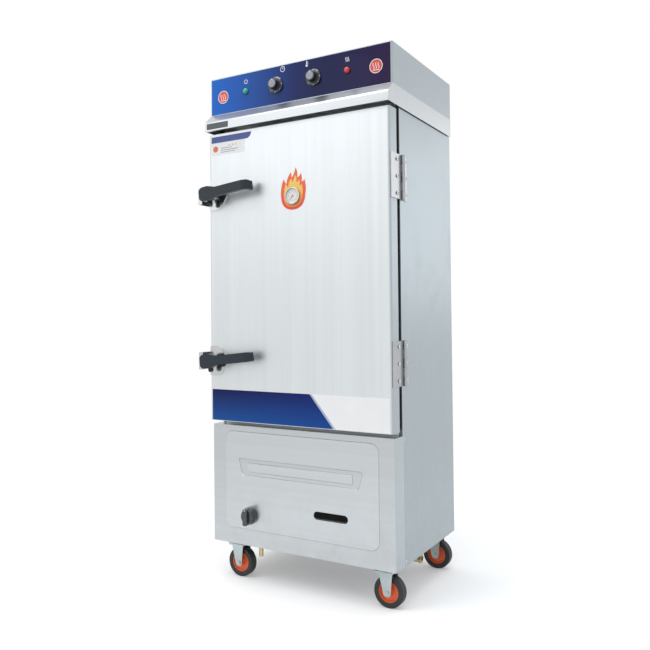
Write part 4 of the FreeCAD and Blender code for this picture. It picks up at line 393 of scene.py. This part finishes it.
def moulded_parts():
    """Levers, knobs, switch cases, gasket, foam, tyres and hubs."""
    lever = plain("lever_plastic", (0.024, 0.034, 0.046), 0.30, bumps=0.00006, scale=700.0, vary=0.1,
                  gloss=0.3)
    dress(["upper_latch_lever", "lower_latch_lever"], lever)
    knob = plain("knob_plastic", (0.024, 0.027, 0.031), 0.20, bumps=0.00005, scale=800.0, vary=0.1, coat=0.6)
    dress(["timer_knob", "thermostat_knob", "gas_knob"], knob)
    case = plain("switch_case", (0.72, 0.71, 0.66), 0.5, bumps=0.0001, scale=400.0)
    dress(["timer_body", "thermostat_body", "contactor"], case)
    dipped = plain("dipped_red", (0.50, 0.035, 0.05), 0.32, bumps=0.0001, scale=200.0, vary=0.08, coat=0.4)
    dress(["drain_valve_lever"], dipped)
    dress(["door_gasket"], plain("gasket_rubber", (0.06, 0.06, 0.062), 0.65, bumps=0.0002))
    foam = plain("foam", (0.78, 0.68, 0.44), 0.9, bumps=0.001, scale=220.0, vary=0.1)
    dress(["wall_insulation", "door_insulation"], foam)
    tyre = plain("tyre_rubber", (0.020, 0.020, 0.022), 0.55, bumps=0.0002, scale=260.0, vary=0.2)
    dress(caster_pieces("tyre"), tyre)
    hub = plain("hub_plastic", (0.78, 0.14, 0.035), 0.38, bumps=0.0001, scale=260.0, vary=0.08, coat=0.2)
    dress(caster_pieces("hub"), hub)


def lens(name, colour):
    """Clear coloured plastic, a little milky inside."""
    made, net, surface = material(name)
    cloud = net.noise(net.place(), scale=120.0)
    net.put(surface["Base Color"], net.mix(cloud, colour, toned(colour, 0.85)))
    net.put(surface["Roughness"], 0.14)
    net.put(surface["Coat Weight"], 0.5)
    net.put(surface["Subsurface Weight"], 0.3)
    net.put(surface["Subsurface Scale"], 0.004)
    return made


def gauge_parts():
    """The thermometer's dial, needle and glass, and the two lamps."""
    dress(["thermometer_dial"], plain("dial_paper", (0.96, 0.96, 0.95), 0.55))
    dress(["thermometer_needle"], plain("needle_paint", (0.30, 0.03, 0.03), 0.4))
    made, net, surface = material("gauge_glass")
    net.put(surface["Base Color"], WHITE)
    net.put(surface["Roughness"], 0.03)
    net.put(surface["Alpha"], 0.12)
    dress(["thermometer_glass"], made)
    dress(["green_lamp"], lens("green_lens", (0.01, 0.52, 0.26)))
    dress(["red_lamp"], lens("red_lens", (0.80, 0.035, 0.03)))


def film_print():
    """The printed film: blue at the left to near violet at the right, smooth and softly uneven."""
    half_width = 0.35
    first = (0.008, 0.150, 0.640)
    last = (0.032, 0.016, 0.066)
    between = ((0.15, (0.012, 0.112, 0.500)), (0.30, (0.014, 0.072, 0.330)),
               (0.50, (0.008, 0.020, 0.130)), (0.66, (0.008, 0.012, 0.078)),
               (0.82, (0.014, 0.012, 0.076)))
    made, net, surface = material("control_film")
    place = net.place()
    across = net.ramp(net.split(place)[0], -half_width, half_width)
    ramp = net.add("ShaderNodeValToRGB", {0: across})
    stops = ramp.color_ramp.elements
    stops[0].color = (*first, 1.0)
    stops[1].color = (*last, 1.0)
    for at, colour in between:
        stops.new(at).color = (*colour, 1.0)
    net.put(surface["Base Color"], ramp.outputs[0])
    touched = net.group(HANDLING, {"Place": place})
    net.put(surface["Roughness"], net.math("ADD", 0.10, net.math("MULTIPLY", touched["Smears"], 0.12)))
    net.put(surface["Specular IOR Level"], 0.16)
    net.put(surface["Normal"], net.bump(net.noise(place, scale=9.0, detail=2.0), 0.0015, 0.35))
    dress(["control_panel"], made)


# Geometry

# How wide the rounds on crisp edges are: the usual width, and the nodes that need another one.
USUAL_ROUND = 0.0004
ROUNDS = {"control_panel": 0.0002, "thermometer_glass": 0.0001, "thermometer_needle": 0.00005,
          "upper_latch_lever": 0.0032, "lower_latch_lever": 0.0032, "lower_panel": 0.0011}


def soften_edges():
    """Small rounds on every crisp CAD edge, so that each catches a line of light."""
    for name, thing in nodes.items():
        weld = thing.modifiers.new("weld", "WELD")
        weld.merge_threshold = 0.00001
        edge = thing.modifiers.new("edges", "BEVEL")
        edge.width = ROUNDS.get(name, USUAL_ROUND)
        edge.segments = 4 if edge.width > 0.001 else 2
        edge.limit_method = "ANGLE"
        edge.angle_limit = math.radians(35)
        edge.use_clamp_overlap = True
        thing.data.shade_smooth()
        normals = thing.modifiers.new("normals", "WEIGHTED_NORMAL")
        normals.mode = "FACE_AREA_WITH_ANGLE"
        normals.weight = 60
        normals.keep_sharp = False


def curve_through(start, bends):
    """Points along joined arcs, each given by its end and the corner it leans to."""
    steps = 8
    points = []
    here = Vector(start)
    for end, corner in bends:
        end, corner = Vector(end), Vector(corner)
        for step in range(steps):
            t = step / steps
            points.append(here * (1 - t) ** 2 + corner * 2 * t * (1 - t) + end * t * t)
        here = end
    return points


def arc(x, z, radius, first, last, steps):
    """Points on an arc in the x-z plane, angles in degrees from +X towards +Z."""
    spots = []
    for step in range(steps + 1):
        angle = math.radians(first + (last - first) * step / steps)
        spots.append((x + radius * math.cos(angle), z + radius * math.sin(angle)))
    return spots


def disc(x, z, radius, corners):
    """The outline of a round, as a polygon with this many corners."""
    return arc(x, z, radius, 0, 360 - 360 / corners, corners - 1)


def stroke(points, width):
    """The outline of a line of this width through points, with square ends."""
    left, right = [], []
    for number, point in enumerate(points):
        before = Vector(points[max(0, number - 1)])
        after = Vector(points[min(len(points) - 1, number + 1)])
        along = (after - before).normalized()
        across = Vector((-along.y, along.x)) * width / 2
        left.append(Vector(point) + across)
        right.append(Vector(point) - across)
    return left + right[::-1]


def ring(x, z, radius, width):
    """A ring as two half rings that meet end to end."""
    return [stroke(arc(x, z, radius, first, first + 180, 20), width) for first in (0, 180)]


def wave(x, z, height, swing, width):
    """An upright wavy line, one turn long."""
    steps = 12
    points = []
    for step in range(steps + 1):
        points.append((x + swing * math.sin(step / steps * 2 * math.pi), z + height * step / steps))
    return stroke(points, width)


def rounded(x0, z0, x1, z1, radius):
    """The outline of a rectangle with rounded corners."""
    centres = ((x1 - radius, z1 - radius), (x0 + radius, z1 - radius),
               (x0 + radius, z0 + radius), (x1 - radius, z0 + radius))
    outline = []
    for number, (x, z) in enumerate(centres):
        outline += arc(x, z, radius, 90 * number, 90 * (number + 1), 6)
    return outline


def thicken(shape, corners, move):
    """Add a flat face with these corners, drawn out into a plate."""
    face = shape.faces.new([shape.verts.new(corner) for corner in corners])
    grown = bmesh.ops.extrude_face_region(shape, geom=[face])["geom"]
    moved = [item for item in grown if isinstance(item, bmesh.types.BMVert)]
    bmesh.ops.translate(shape, verts=moved, vec=move)


def cleaned(shape):
    """Turn all faces outwards and cut them into triangles."""
    bmesh.ops.recalc_face_normals(shape, faces=shape.faces)
    bmesh.ops.triangulate(shape, faces=shape.faces)


def turned(shape, spot, out, up, profile):
    """Turn a profile of (radius, height) points round an axis that points outwards."""
    steps = 28
    across = out.cross(up)
    rings = []
    for radius, height in profile:
        if radius == 0:
            rings.append([shape.verts.new(spot + out * height)])
            continue
        around = []
        for step in range(steps):
            angle = 2 * math.pi * step / steps
            away = across * math.cos(angle) + up * math.sin(angle)
            around.append(shape.verts.new(spot + out * height + away * radius))
        rings.append(around)
    for low, high in zip(rings, rings[1:]):
        for step in range(steps):
            after = (step + 1) % steps
            top = [high[0]] if len(high) == 1 else [high[after], high[step]]
            shape.faces.new([low[step], low[after]] + top)
    shape.faces.new(rings[0][::-1])


def link(name, shape, made, body):
    """Make a piece of a finished shape, give it its material and let it ride on a body."""
    mesh = bpy.data.meshes.new(name)
    shape.to_mesh(mesh)
    shape.free()
    mesh.materials.append(made)
    thing = bpy.data.objects.new(name, mesh)
    bpy.context.scene.collection.objects.link(thing)
    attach(thing, body)


def flat(name, outlines, behind, thick, made, body):
    """Thin flat pieces that lie on a surface facing the front, their outlines in x and z."""
    shape = bmesh.new()
    for outline in outlines:
        corners = [(spot[0], behind, spot[1]) for spot in outline]
        thicken(shape, corners, FRONT * thick)
    cleaned(shape)
    link(name, shape, made, body)


# Prints and small pieces

# How thick one printed layer is.
PRINT = 0.00006


def ink(name, colour, rough=0.35, coat=0.3):
    """A printed colour under a thin gloss, with the slight unevenness of a print."""
    return plain(name, colour, rough, bumps=0.00002, scale=900.0, vary=0.03, coat=coat)


# The flame's outline in millimetres from the thermometer's centre: each bend's end and its corner.
FLAME_START = (0, -45)
FLAME_BENDS = [((-47, -2), (-44, -44)), ((-36, 60), (-51, 30)), ((-25, 42), (-33, 47)),
               ((-9, 78), (-25, 62)), ((-6, 60), (-4, 70)), ((10, 93), (6, 72)),
               ((16, 60), (21, 76)), ((30, 73), (27, 62)), ((33, 45), (37, 58)),
               ((44, 52), (41, 44)), ((47, 2), (53, 26)), (FLAME_START, (44, -44))]


def flame_outline(scale, rise=0.0):
    """The flame's outline round the thermometer, scaled and shifted in height."""
    mm = 0.001 * scale
    spots = curve_through(FLAME_START, FLAME_BENDS)
    return [(spot.x * mm, GAUGE_Z + rise + spot.y * mm) for spot in spots]


def flame_colour(name, low, high, low_z, high_z):
    """A print that runs from one colour at the bottom to another at the top."""
    made, net, surface = material(name)
    place = net.place()
    uneven = net.math("MULTIPLY", net.noise(place, scale=60.0), 0.012)
    rise = net.ramp(net.math("ADD", net.split(place)[2], uneven), low_z, high_z)
    net.put(surface["Base Color"], net.mix(rise, low, high))
    net.put(surface["Roughness"], 0.35)
    net.put(surface["Coat Weight"], 0.3)
    return made


def flame_decal():
    """A plain flame printed round the thermometer, in three layers of film."""
    white = ink("decal_white", (0.95, 0.95, 0.95))
    red = flame_colour("flame_red", (0.90, 0.045, 0.020), (0.95, 0.15, 0.04), 1.26, 1.38)
    gold = flame_colour("flame_gold", (0.98, 0.32, 0.04), (1.0, 0.72, 0.14), 1.27, 1.36)
    flat("flame_edge", [flame_outline(1.05)], DOOR_FACE, PRINT, white, "door")
    flat("flame_outer", [flame_outline(1.0)], DOOR_FACE - PRINT, PRINT, red, "door")
    flat("flame_inner", [flame_outline(0.76, -0.002)], DOOR_FACE - PRINT * 2, PRINT, gold, "door")


# The sign band's lower and upper edges, its ends in X at both sides, and how thick its film is.
BAND_LOW = 0.5465
BAND_HIGH = 0.6530
BAND_EDGE = 0.341
BAND_FILM = 0.00008


def band_blue():
    """The band's blue, darker towards its top, with a purer blue towards its right."""
    made, net, surface = material("band_blue")
    x, _, z = net.split(net.place())
    tone = net.mix(net.ramp(z, BAND_LOW, BAND_HIGH), (0.012, 0.085, 0.330), (0.006, 0.008, 0.085))
    along = net.math("MULTIPLY", net.ramp(x, -0.34, 0.14), 0.35)
    net.put(surface["Base Color"], net.mix(along, tone, (0.004, 0.030, 0.240)))
    net.put(surface["Roughness"], 0.22)
    net.put(surface["Specular IOR Level"], 0.16)
    return made


def slanted(left, right, left_lean, right_lean):
    """A field of the sign band, given at its foot, with how far each end leans to the left at its top."""
    foot = [(left, BAND_LOW), (right, BAND_LOW)]
    return foot + [(right - right_lean, BAND_HIGH), (left - left_lean, BAND_HIGH)]


def sign_band():
    """The bare sign band: a blue field with a slanted end, a grey stripe, then white to the door's edge."""
    lean = 0.087
    blue_end, stripe_start, stripe_end, white_start = 0.143, 0.1435, 0.1515, 0.152
    white = ink("band_white", (0.94, 0.95, 0.96), 0.3)
    grey = ink("band_grey", (0.42, 0.50, 0.62))
    fields = (("band_blue_film", slanted(-BAND_EDGE, blue_end, 0.0, lean), band_blue()),
              ("band_white_film", slanted(white_start, BAND_EDGE, lean, 0.0), white),
              ("band_stripe", slanted(stripe_start, stripe_end, lean, lean), grey))
    for name, outline, made in fields:
        flat(name, [outline], DOOR_FACE, BAND_FILM, made, "door")


def door_sticker():
    """A plain sticker at the door's upper left: a white label with a blue head, a spot, dots and bars."""
    left, label_right, head_right, top = -0.340, -0.196, -0.190, 1.5365
    label_low = top - 0.066
    head_low = top - 0.022
    spot_x, spot_z = -0.322, top - 0.044
    dots_z = top - 0.035
    bar_left, bar_width = -0.300, 0.003
    printed = DOOR_FACE - PRINT
    label = rounded(left, label_low, label_right, top, 0.004)
    flat("sticker_label", [label], DOOR_FACE, PRINT, ink("label_white", (0.97, 0.975, 0.98)), "door")
    head = [(left, head_low), (head_right, head_low)]
    head += arc(head_right, top, top - head_low, -90, 0, 8) + [(left, top)]
    flat("sticker_head", [head], printed, PRINT, ink("label_blue", (0.030, 0.070, 0.330)), "door")
    spot = disc(spot_x, spot_z, 0.011, 24)
    flat("sticker_spot", [spot], printed, PRINT, ink("label_orange", (0.80, 0.18, 0.04)), "door")
    dots = [disc(x, dots_z, 0.0028, 12) for x in (-0.262, -0.248, -0.234)]
    flat("sticker_dots", dots, printed, PRINT, ink("label_yellow", (0.80, 0.52, 0.05)), "door")
    bars = []
    for drop, length in ((0.044, 0.050), (0.051, 0.076), (0.058, 0.064)):
        low, right = top - drop, bar_left + length
        bars.append([(bar_left, low), (right, low), (right, low + bar_width), (bar_left, low + bar_width)])
    flat("sticker_bars", bars, printed, PRINT, ink("label_grey", (0.45, 0.47, 0.55)), "door")


def eave_badge():
    """A bare dark plate with a greyer field, on the eave."""
    left, low, right, high = -0.346, 1.5605, -0.254, 1.5805
    thick, field_thick, rim = 0.0008, 0.0002, 0.0018
    black = ink("badge_black", (0.02, 0.028, 0.035), 0.25, 0.5)
    grey = ink("badge_grey", (0.06, 0.075, 0.085), 0.4)
    plate = rounded(left, low, right, high, 0.0015)
    field = rounded(left + rim, low + rim, right - rim, high - rim, 0.0008)
    flat("eave_badge", [plate], EAVE_FACE, thick, black, "cabinet")
    flat("eave_badge_field", [field], EAVE_FACE - thick, field_thick, grey, "cabinet")


def clock_sign(x, z):
    """A ring with two hands."""
    upright_hand = stroke([(x, z), (x, z + 0.0057)], 0.0014)
    level_hand = stroke([(x - 0.0007, z), (x + 0.0045, z)], 0.0014)
    return ring(x, z, 0.0085, 0.0020) + [upright_hand, level_hand]


def thermometer_sign(x, z):
    """A bulb, a tube above it and four short marks at its right."""
    outlines = [disc(x, z, 0.0040, 18), stroke([(x, z + 0.0027), (x, z + 0.0147)], 0.0034)]
    for rise in (0.0052, 0.0077, 0.0102, 0.0127):
        outlines.append(stroke([(x + 0.0028, z + rise), (x + 0.0056, z + rise)], 0.0010))
    return outlines


def power_sign(x, z):
    """A ring that is open at its top, with an upright line in the gap."""
    width = 0.0019
    open_ring = stroke(arc(x, z, 0.0066, 125, 415, 24), width)
    return [open_ring, stroke([(x, z + 0.0010), (x, z + 0.0090)], width)]


def heat_sign(x, z):
    """Three waves side by side."""
    return [wave(x + shift, z, 0.0140, 0.0012, 0.0018) for shift in (-0.0050, 0.0, 0.0050)]


def steam_sign(x, z):
    """A ring round three waves that rise from a line."""
    width = 0.0022
    waves = [wave(x + shift, z - 0.0085, 0.0185, 0.0020, width) for shift in (-0.0085, 0.0, 0.0085)]
    line = stroke([(x - 0.012, z - 0.0120), (x + 0.012, z - 0.0120)], width)
    return ring(x, z, 0.0215, width) + waves + [line]


def film_marks():
    """Plain white signs on the film: clock, thermometer, power and heat, and steam on two red discs."""
    white = ink("mark_white", (0.95, 0.95, 0.96))
    red = ink("mark_red", (0.78, 0.055, 0.030))
    layer = 0.00005
    places = ((-0.298, 1.6775), (0.300, 1.6775))
    discs = [disc(x, z, 0.0213, 60) for x, z in places]
    flat("film_discs", discs, FILM_FACE, layer, red, "cabinet")
    marks = clock_sign(-0.047, 1.7315) + thermometer_sign(0.048, 1.7258)
    marks += power_sign(-0.199, 1.7160) + heat_sign(0.199, 1.7100)
    for x, z in places:
        marks += steam_sign(x, z)
    flat("film_marks", marks, FILM_FACE - layer, layer, white, "cabinet")


def hinge_screw_domes():
    """Domed heads over the hinge leaves' screws, each with its washer's rim."""
    made = plain("screw_steel", (0.66, 0.67, 0.68), 0.16, metal=1.0)
    profile = [(0.0062, -0.0008), (0.0062, 0.0), (0.0060, 0.0004), (0.0052, 0.0006), (0.0050, 0.0014),
               (0.0043, 0.0024), (0.0030, 0.0031), (0.0015, 0.0034), (0, DOME_HEIGHT)]
    for body, (x, y) in (("door", DOOR_LEAF), ("cabinet", BODY_LEAF)):
        shape = bmesh.new()
        for z in LEAF_ROWS:
            turned(shape, Vector((x, y, z)), RIGHT, UP, profile)
        bmesh.ops.recalc_face_normals(shape, faces=shape.faces)
        for face in shape.faces:
            face.smooth = True
        link(body + "_screw_domes", shape, made, body)


def screw_heads(place, rows, rise=0.0):
    """The middles of the heads of a row of screws."""
    return [Vector((place[0] + rise, place[1], z)) for z in rows]


def cross(place, across, up):
    """The corners of a plus sign round a place."""
    reach, half = 0.0026, 0.00055
    spots = ((half, reach), (half, half), (reach, half), (reach, -half), (half, -half), (half, -reach),
             (-half, -reach), (-half, -half), (-reach, -half), (-reach, half), (-half, half), (-half, reach))
    return [place + across * a + up * b for a, b in spots]


def screw_recesses():
    """The driver's crossed recess on every screw head at the sides, as a dark inlay: painted shade for the
    hollow.
    """
    sunk, thick = 0.0006, 0.00075
    # The inlay's near-black is painted shade standing in for the hollow recess.
    dark = plain("recess_painted_shade", (0.03, 0.03, 0.033), 0.6, metal=0.3)
    panel_heads = []
    for z in PANEL_ROWS:
        panel_heads += [Vector((x, PANEL_SCREW[1], z)) for x in (PANEL_SCREW[0], -PANEL_SCREW[0])]
    body_heads = screw_heads(BODY_LEAF, LEAF_ROWS, DOME_HEIGHT) + panel_heads
    heads = {"door": screw_heads(DOOR_LEAF, LEAF_ROWS, DOME_HEIGHT),
             "cabinet": body_heads + screw_heads(KEEPER_SCREW, KEEPER_ROWS)}
    for body, spots in heads.items():
        shape = bmesh.new()
        for number, spot in enumerate(spots):
            out = RIGHT if spot.x > 0 else -RIGHT
            lean = math.radians(25 + number * 31)
            up = Vector((0.0, math.sin(lean), math.cos(lean)))
            thicken(shape, cross(spot - out * sunk, out.cross(up), up), out * thick)
        cleaned(shape)
        link(body + "_screw_recesses", shape, dark, body)


def add_number(whole, value, size, turn):
    """Add the flat shapes of a number, made in its own x-y plane and then moved to its place."""
    made = bpy.data.curves.new("numeral", "FONT")
    made.body = str(value)
    made.size = size
    made.align_x, made.align_y = "CENTER", "CENTER"
    thing = bpy.data.objects.new("numeral", made)
    bpy.context.scene.collection.objects.link(thing)
    bpy.context.view_layer.update()
    mesh = thing.to_mesh()
    mesh.transform(turn)
    whole.from_mesh(mesh)
    bpy.data.objects.remove(thing)


def standing(out, slope):
    """A number's axes: its top points outwards on a sloping skirt, or up where no slope is given."""
    if slope is None:
        away, normal = UP, FRONT
    else:
        away = (out - FRONT * slope).normalized()
        normal = (FRONT + out * slope).normalized()
    return Matrix((away.cross(normal), away, normal)).transposed().to_4x4()


def dial_numbers(name, centre, radius, size, values, first, slope, made, body):
    """Numbers round a dial, clockwise seen from the front, the first one at this angle in degrees."""
    whole = bmesh.new()
    for number, value in enumerate(values):
        angle = math.radians(first - NUMBER_STEP * number)
        out = Vector((math.cos(angle), 0.0, math.sin(angle)))
        turn = Matrix.Translation(Vector(centre) + out * radius) @ standing(out, slope)
        add_number(whole, value, size, turn)
    link(name, whole, made, body)


def knob_prints():
    """Numbers on the two knobs' skirts, a thin metal disc on each grip that stands in for the glare on the
    glossy knob (a painted reflection), a pointer on each grip, and the gas knob's dot.
    """
    white = ink("knob_white", (0.85, 0.85, 0.85))
    # A painted reflection: this metal disc on each grip stands in for the glare on the knob's glossy
    # plastic.
    glare_metal = plain("painted_glare_cap", (0.22, 0.235, 0.25), 0.24, metal=1.0, bumps=0.00003, scale=500.0, vary=0.15)
    for name, x, values in (("timer", -KNOB_X, (0, 10, 20, 30, 40, 50, 60)),
                            ("thermostat", KNOB_X, (0, 30, 50, 70, 90, 110))):
        body = name + "_knob"
        centre = (x, SKIRT_FACE, KNOB_Z)
        dial_numbers(name + "_numbers", centre, 0.0247, 0.0054, values, 90, SKIRT_SLOPE, white, body)
        flat(name + "_cap", [disc(x, KNOB_Z, 0.0130, 45)], GRIP_FACE, PRINT, glare_metal, body)
        pointer = stroke([(x, KNOB_Z + 0.0085), (x, KNOB_Z + 0.0155)], 0.0018)
        flat(name + "_pointer", [pointer], GRIP_FACE, PRINT * 2, white, body)
    dot = disc(GAS_KNOB_X, GAS_KNOB_Z + 0.0235, 0.0021, 18)
    flat("gas_knob_dot", [dot], GAS_KNOB_FACE, 0.0001, white, "gas_knob")


def gauge_print():
    """The thermometer's scale: ticks, and numbers that stand upright."""
    black = ink("scale_black", (0.03, 0.03, 0.03), 0.5, 0.0)
    layer = 0.00003
    first, ticks_per_number, outer = 225, 4, 0.0238
    numbers = (0, 20, 40, 60, 80, 100, 120)
    ticks = []
    for number in range(ticks_per_number * (len(numbers) - 1) + 1):
        angle = math.radians(first - number * NUMBER_STEP / ticks_per_number)
        inner, width = (0.0205, 0.0006) if number % ticks_per_number == 0 else (0.0220, 0.0003)
        ends = [(reach * math.cos(angle), GAUGE_Z + reach * math.sin(angle)) for reach in (inner, outer)]
        ticks.append(stroke(ends, width))
    flat("gauge_ticks", ticks, DIAL_FACE, layer, black, "door")
    centre = (0.0, DIAL_FACE - layer, GAUGE_Z)
    dial_numbers("gauge_numbers", centre, 0.0168, 0.0042, numbers, first, None, black, "door")


# Scene

def shown(net):
    """1 where a ray shows the background: seen directly, in a reflection or through glass."""
    path = net.add("ShaderNodeLightPath").outputs
    mirrored = net.math("MAXIMUM", path["Is Glossy Ray"], path["Is Transmission Ray"])
    return net.math("MAXIMUM", path["Is Camera Ray"], mirrored)


def surroundings():
    """Soft light from all sides, brighter at the front left, and plain white where the background shows."""
    world = bpy.data.worlds.new("studio")
    bpy.context.scene.world = world
    world.use_nodes = True
    world.node_tree.nodes.clear()
    net = Net(world.node_tree)
    x, y, z = net.split(net.add("ShaderNodeTexCoord").outputs["Generated"])
    slope = net.math("ADD", net.math("MULTIPLY", x, 0.55), net.math("MULTIPLY", y, 0.45))
    sky = net.mix(net.ramp(slope, -0.5, 0.6), WHITE, (0.80, 0.85, 0.90))
    strength = net.ramp(z, -0.05, 0.40, 0.78, 1.04)
    lit = net.add("ShaderNodeBackground", {"Color": sky, "Strength": strength})
    seen = net.add("ShaderNodeBackground", {"Color": WHITE, "Strength": 1.0})
    both = net.add("ShaderNodeMixShader", {0: shown(net), 1: lit.outputs[0], 2: seen.outputs[0]})
    net.add("ShaderNodeOutputWorld", {"Surface": both.outputs[0]})


def floor():
    """A white floor that takes shadows near the cabinet and goes over into the white behind it."""
    reach = 14.0
    near, far = 0.9, 2.2
    corners = [(-reach, -reach, 0), (reach, -reach, 0), (reach, reach, 0), (-reach, reach, 0)]
    mesh = bpy.data.meshes.new("floor")
    mesh.from_pydata(corners, [], [(0, 1, 2, 3)])
    thing = bpy.data.objects.new("floor", mesh)
    bpy.context.scene.collection.objects.link(thing)
    made, net, surface = material("floor_white")
    away = net.add("ShaderNodeVectorMath", {0: net.place()}, operation="LENGTH").outputs["Value"]
    fade = net.ramp(away, near, far)
    net.put(surface["Base Color"], net.mix(fade, (0.78, 0.78, 0.78), BLACK))
    net.put(surface["Roughness"], 0.9)
    net.put(surface["Specular IOR Level"], 0.0)
    net.put(surface["Emission Color"], WHITE)
    net.put(surface["Emission Strength"], net.math("MULTIPLY", shown(net), net.blend(fade, 0.22, 1.0)))
    mesh.materials.append(made)


def area_light(name, spot, target, size, watts, colour=WHITE):
    """A rectangular lamp that looks at a target."""
    lamp = bpy.data.lights.new(name, "AREA")
    lamp.shape = "RECTANGLE"
    lamp.size, lamp.size_y = size
    lamp.energy = watts
    lamp.color = colour
    thing = bpy.data.objects.new(name, lamp)
    thing.location = spot
    thing.rotation_euler = (Vector(target) - Vector(spot)).to_track_quat("-Z", "Y").to_euler()
    bpy.context.scene.collection.objects.link(thing)


def lights():
    """A key light high at the front left, a weak one below it, a wide one above, one at the back right."""
    area_light("key", (-1.6, -3.0, 4.4), (0.0, 0.0, 0.8), (1.6, 1.2), 40.0)
    area_light("front", (-2.3, -3.4, 2.5), (0.0, 0.0, 1.2), (1.8, 1.4), 6.5)
    area_light("top", (0.0, -0.4, 4.6), (0.0, -0.1, 0.0), (3.0, 3.0), 60.0)
    area_light("side", (2.2, 3.5, 1.75), (0.35, 0.0, 1.1), (2.0, 1.5), 6.5, (0.96, 0.98, 1.0))


def camera():
    """The photograph's camera: its place, the way it looks, its lens and its offset frame."""
    place = (1.2653, -2.2068, 0.9029)
    yaw, pitch, roll = (math.radians(angle) for angle in (30.31, 1.32, -0.52))
    data = bpy.data.cameras.new("camera")
    data.sensor_width = 36.0
    data.lens = 39.53
    data.shift_y = -0.0385
    thing = bpy.data.objects.new("camera", data)
    bpy.context.scene.collection.objects.link(thing)
    ahead = Vector((-math.sin(yaw) * math.cos(pitch), math.cos(yaw) * math.cos(pitch), math.sin(pitch)))
    level = Vector((math.cos(yaw), math.sin(yaw), 0.0))
    up = level.cross(ahead)
    right = level * math.cos(roll) + up * math.sin(roll)
    above = up * math.cos(roll) - level * math.sin(roll)
    turn = Matrix((right, above, -ahead)).transposed()
    thing.matrix_world = Matrix.Translation(place) @ turn.to_4x4()
    bpy.context.scene.camera = thing


outer_steel()
inner_steel()
door_steel()
metal_parts()
moulded_parts()
gauge_parts()
film_print()
soften_edges()
flame_decal()
sign_band()
door_sticker()
eave_badge()
film_marks()
knob_prints()
gauge_print()
hinge_screw_domes()
screw_recesses()
surroundings()
floor()
lights()
camera()
bpy.context.scene.view_settings.view_transform = "Standard"
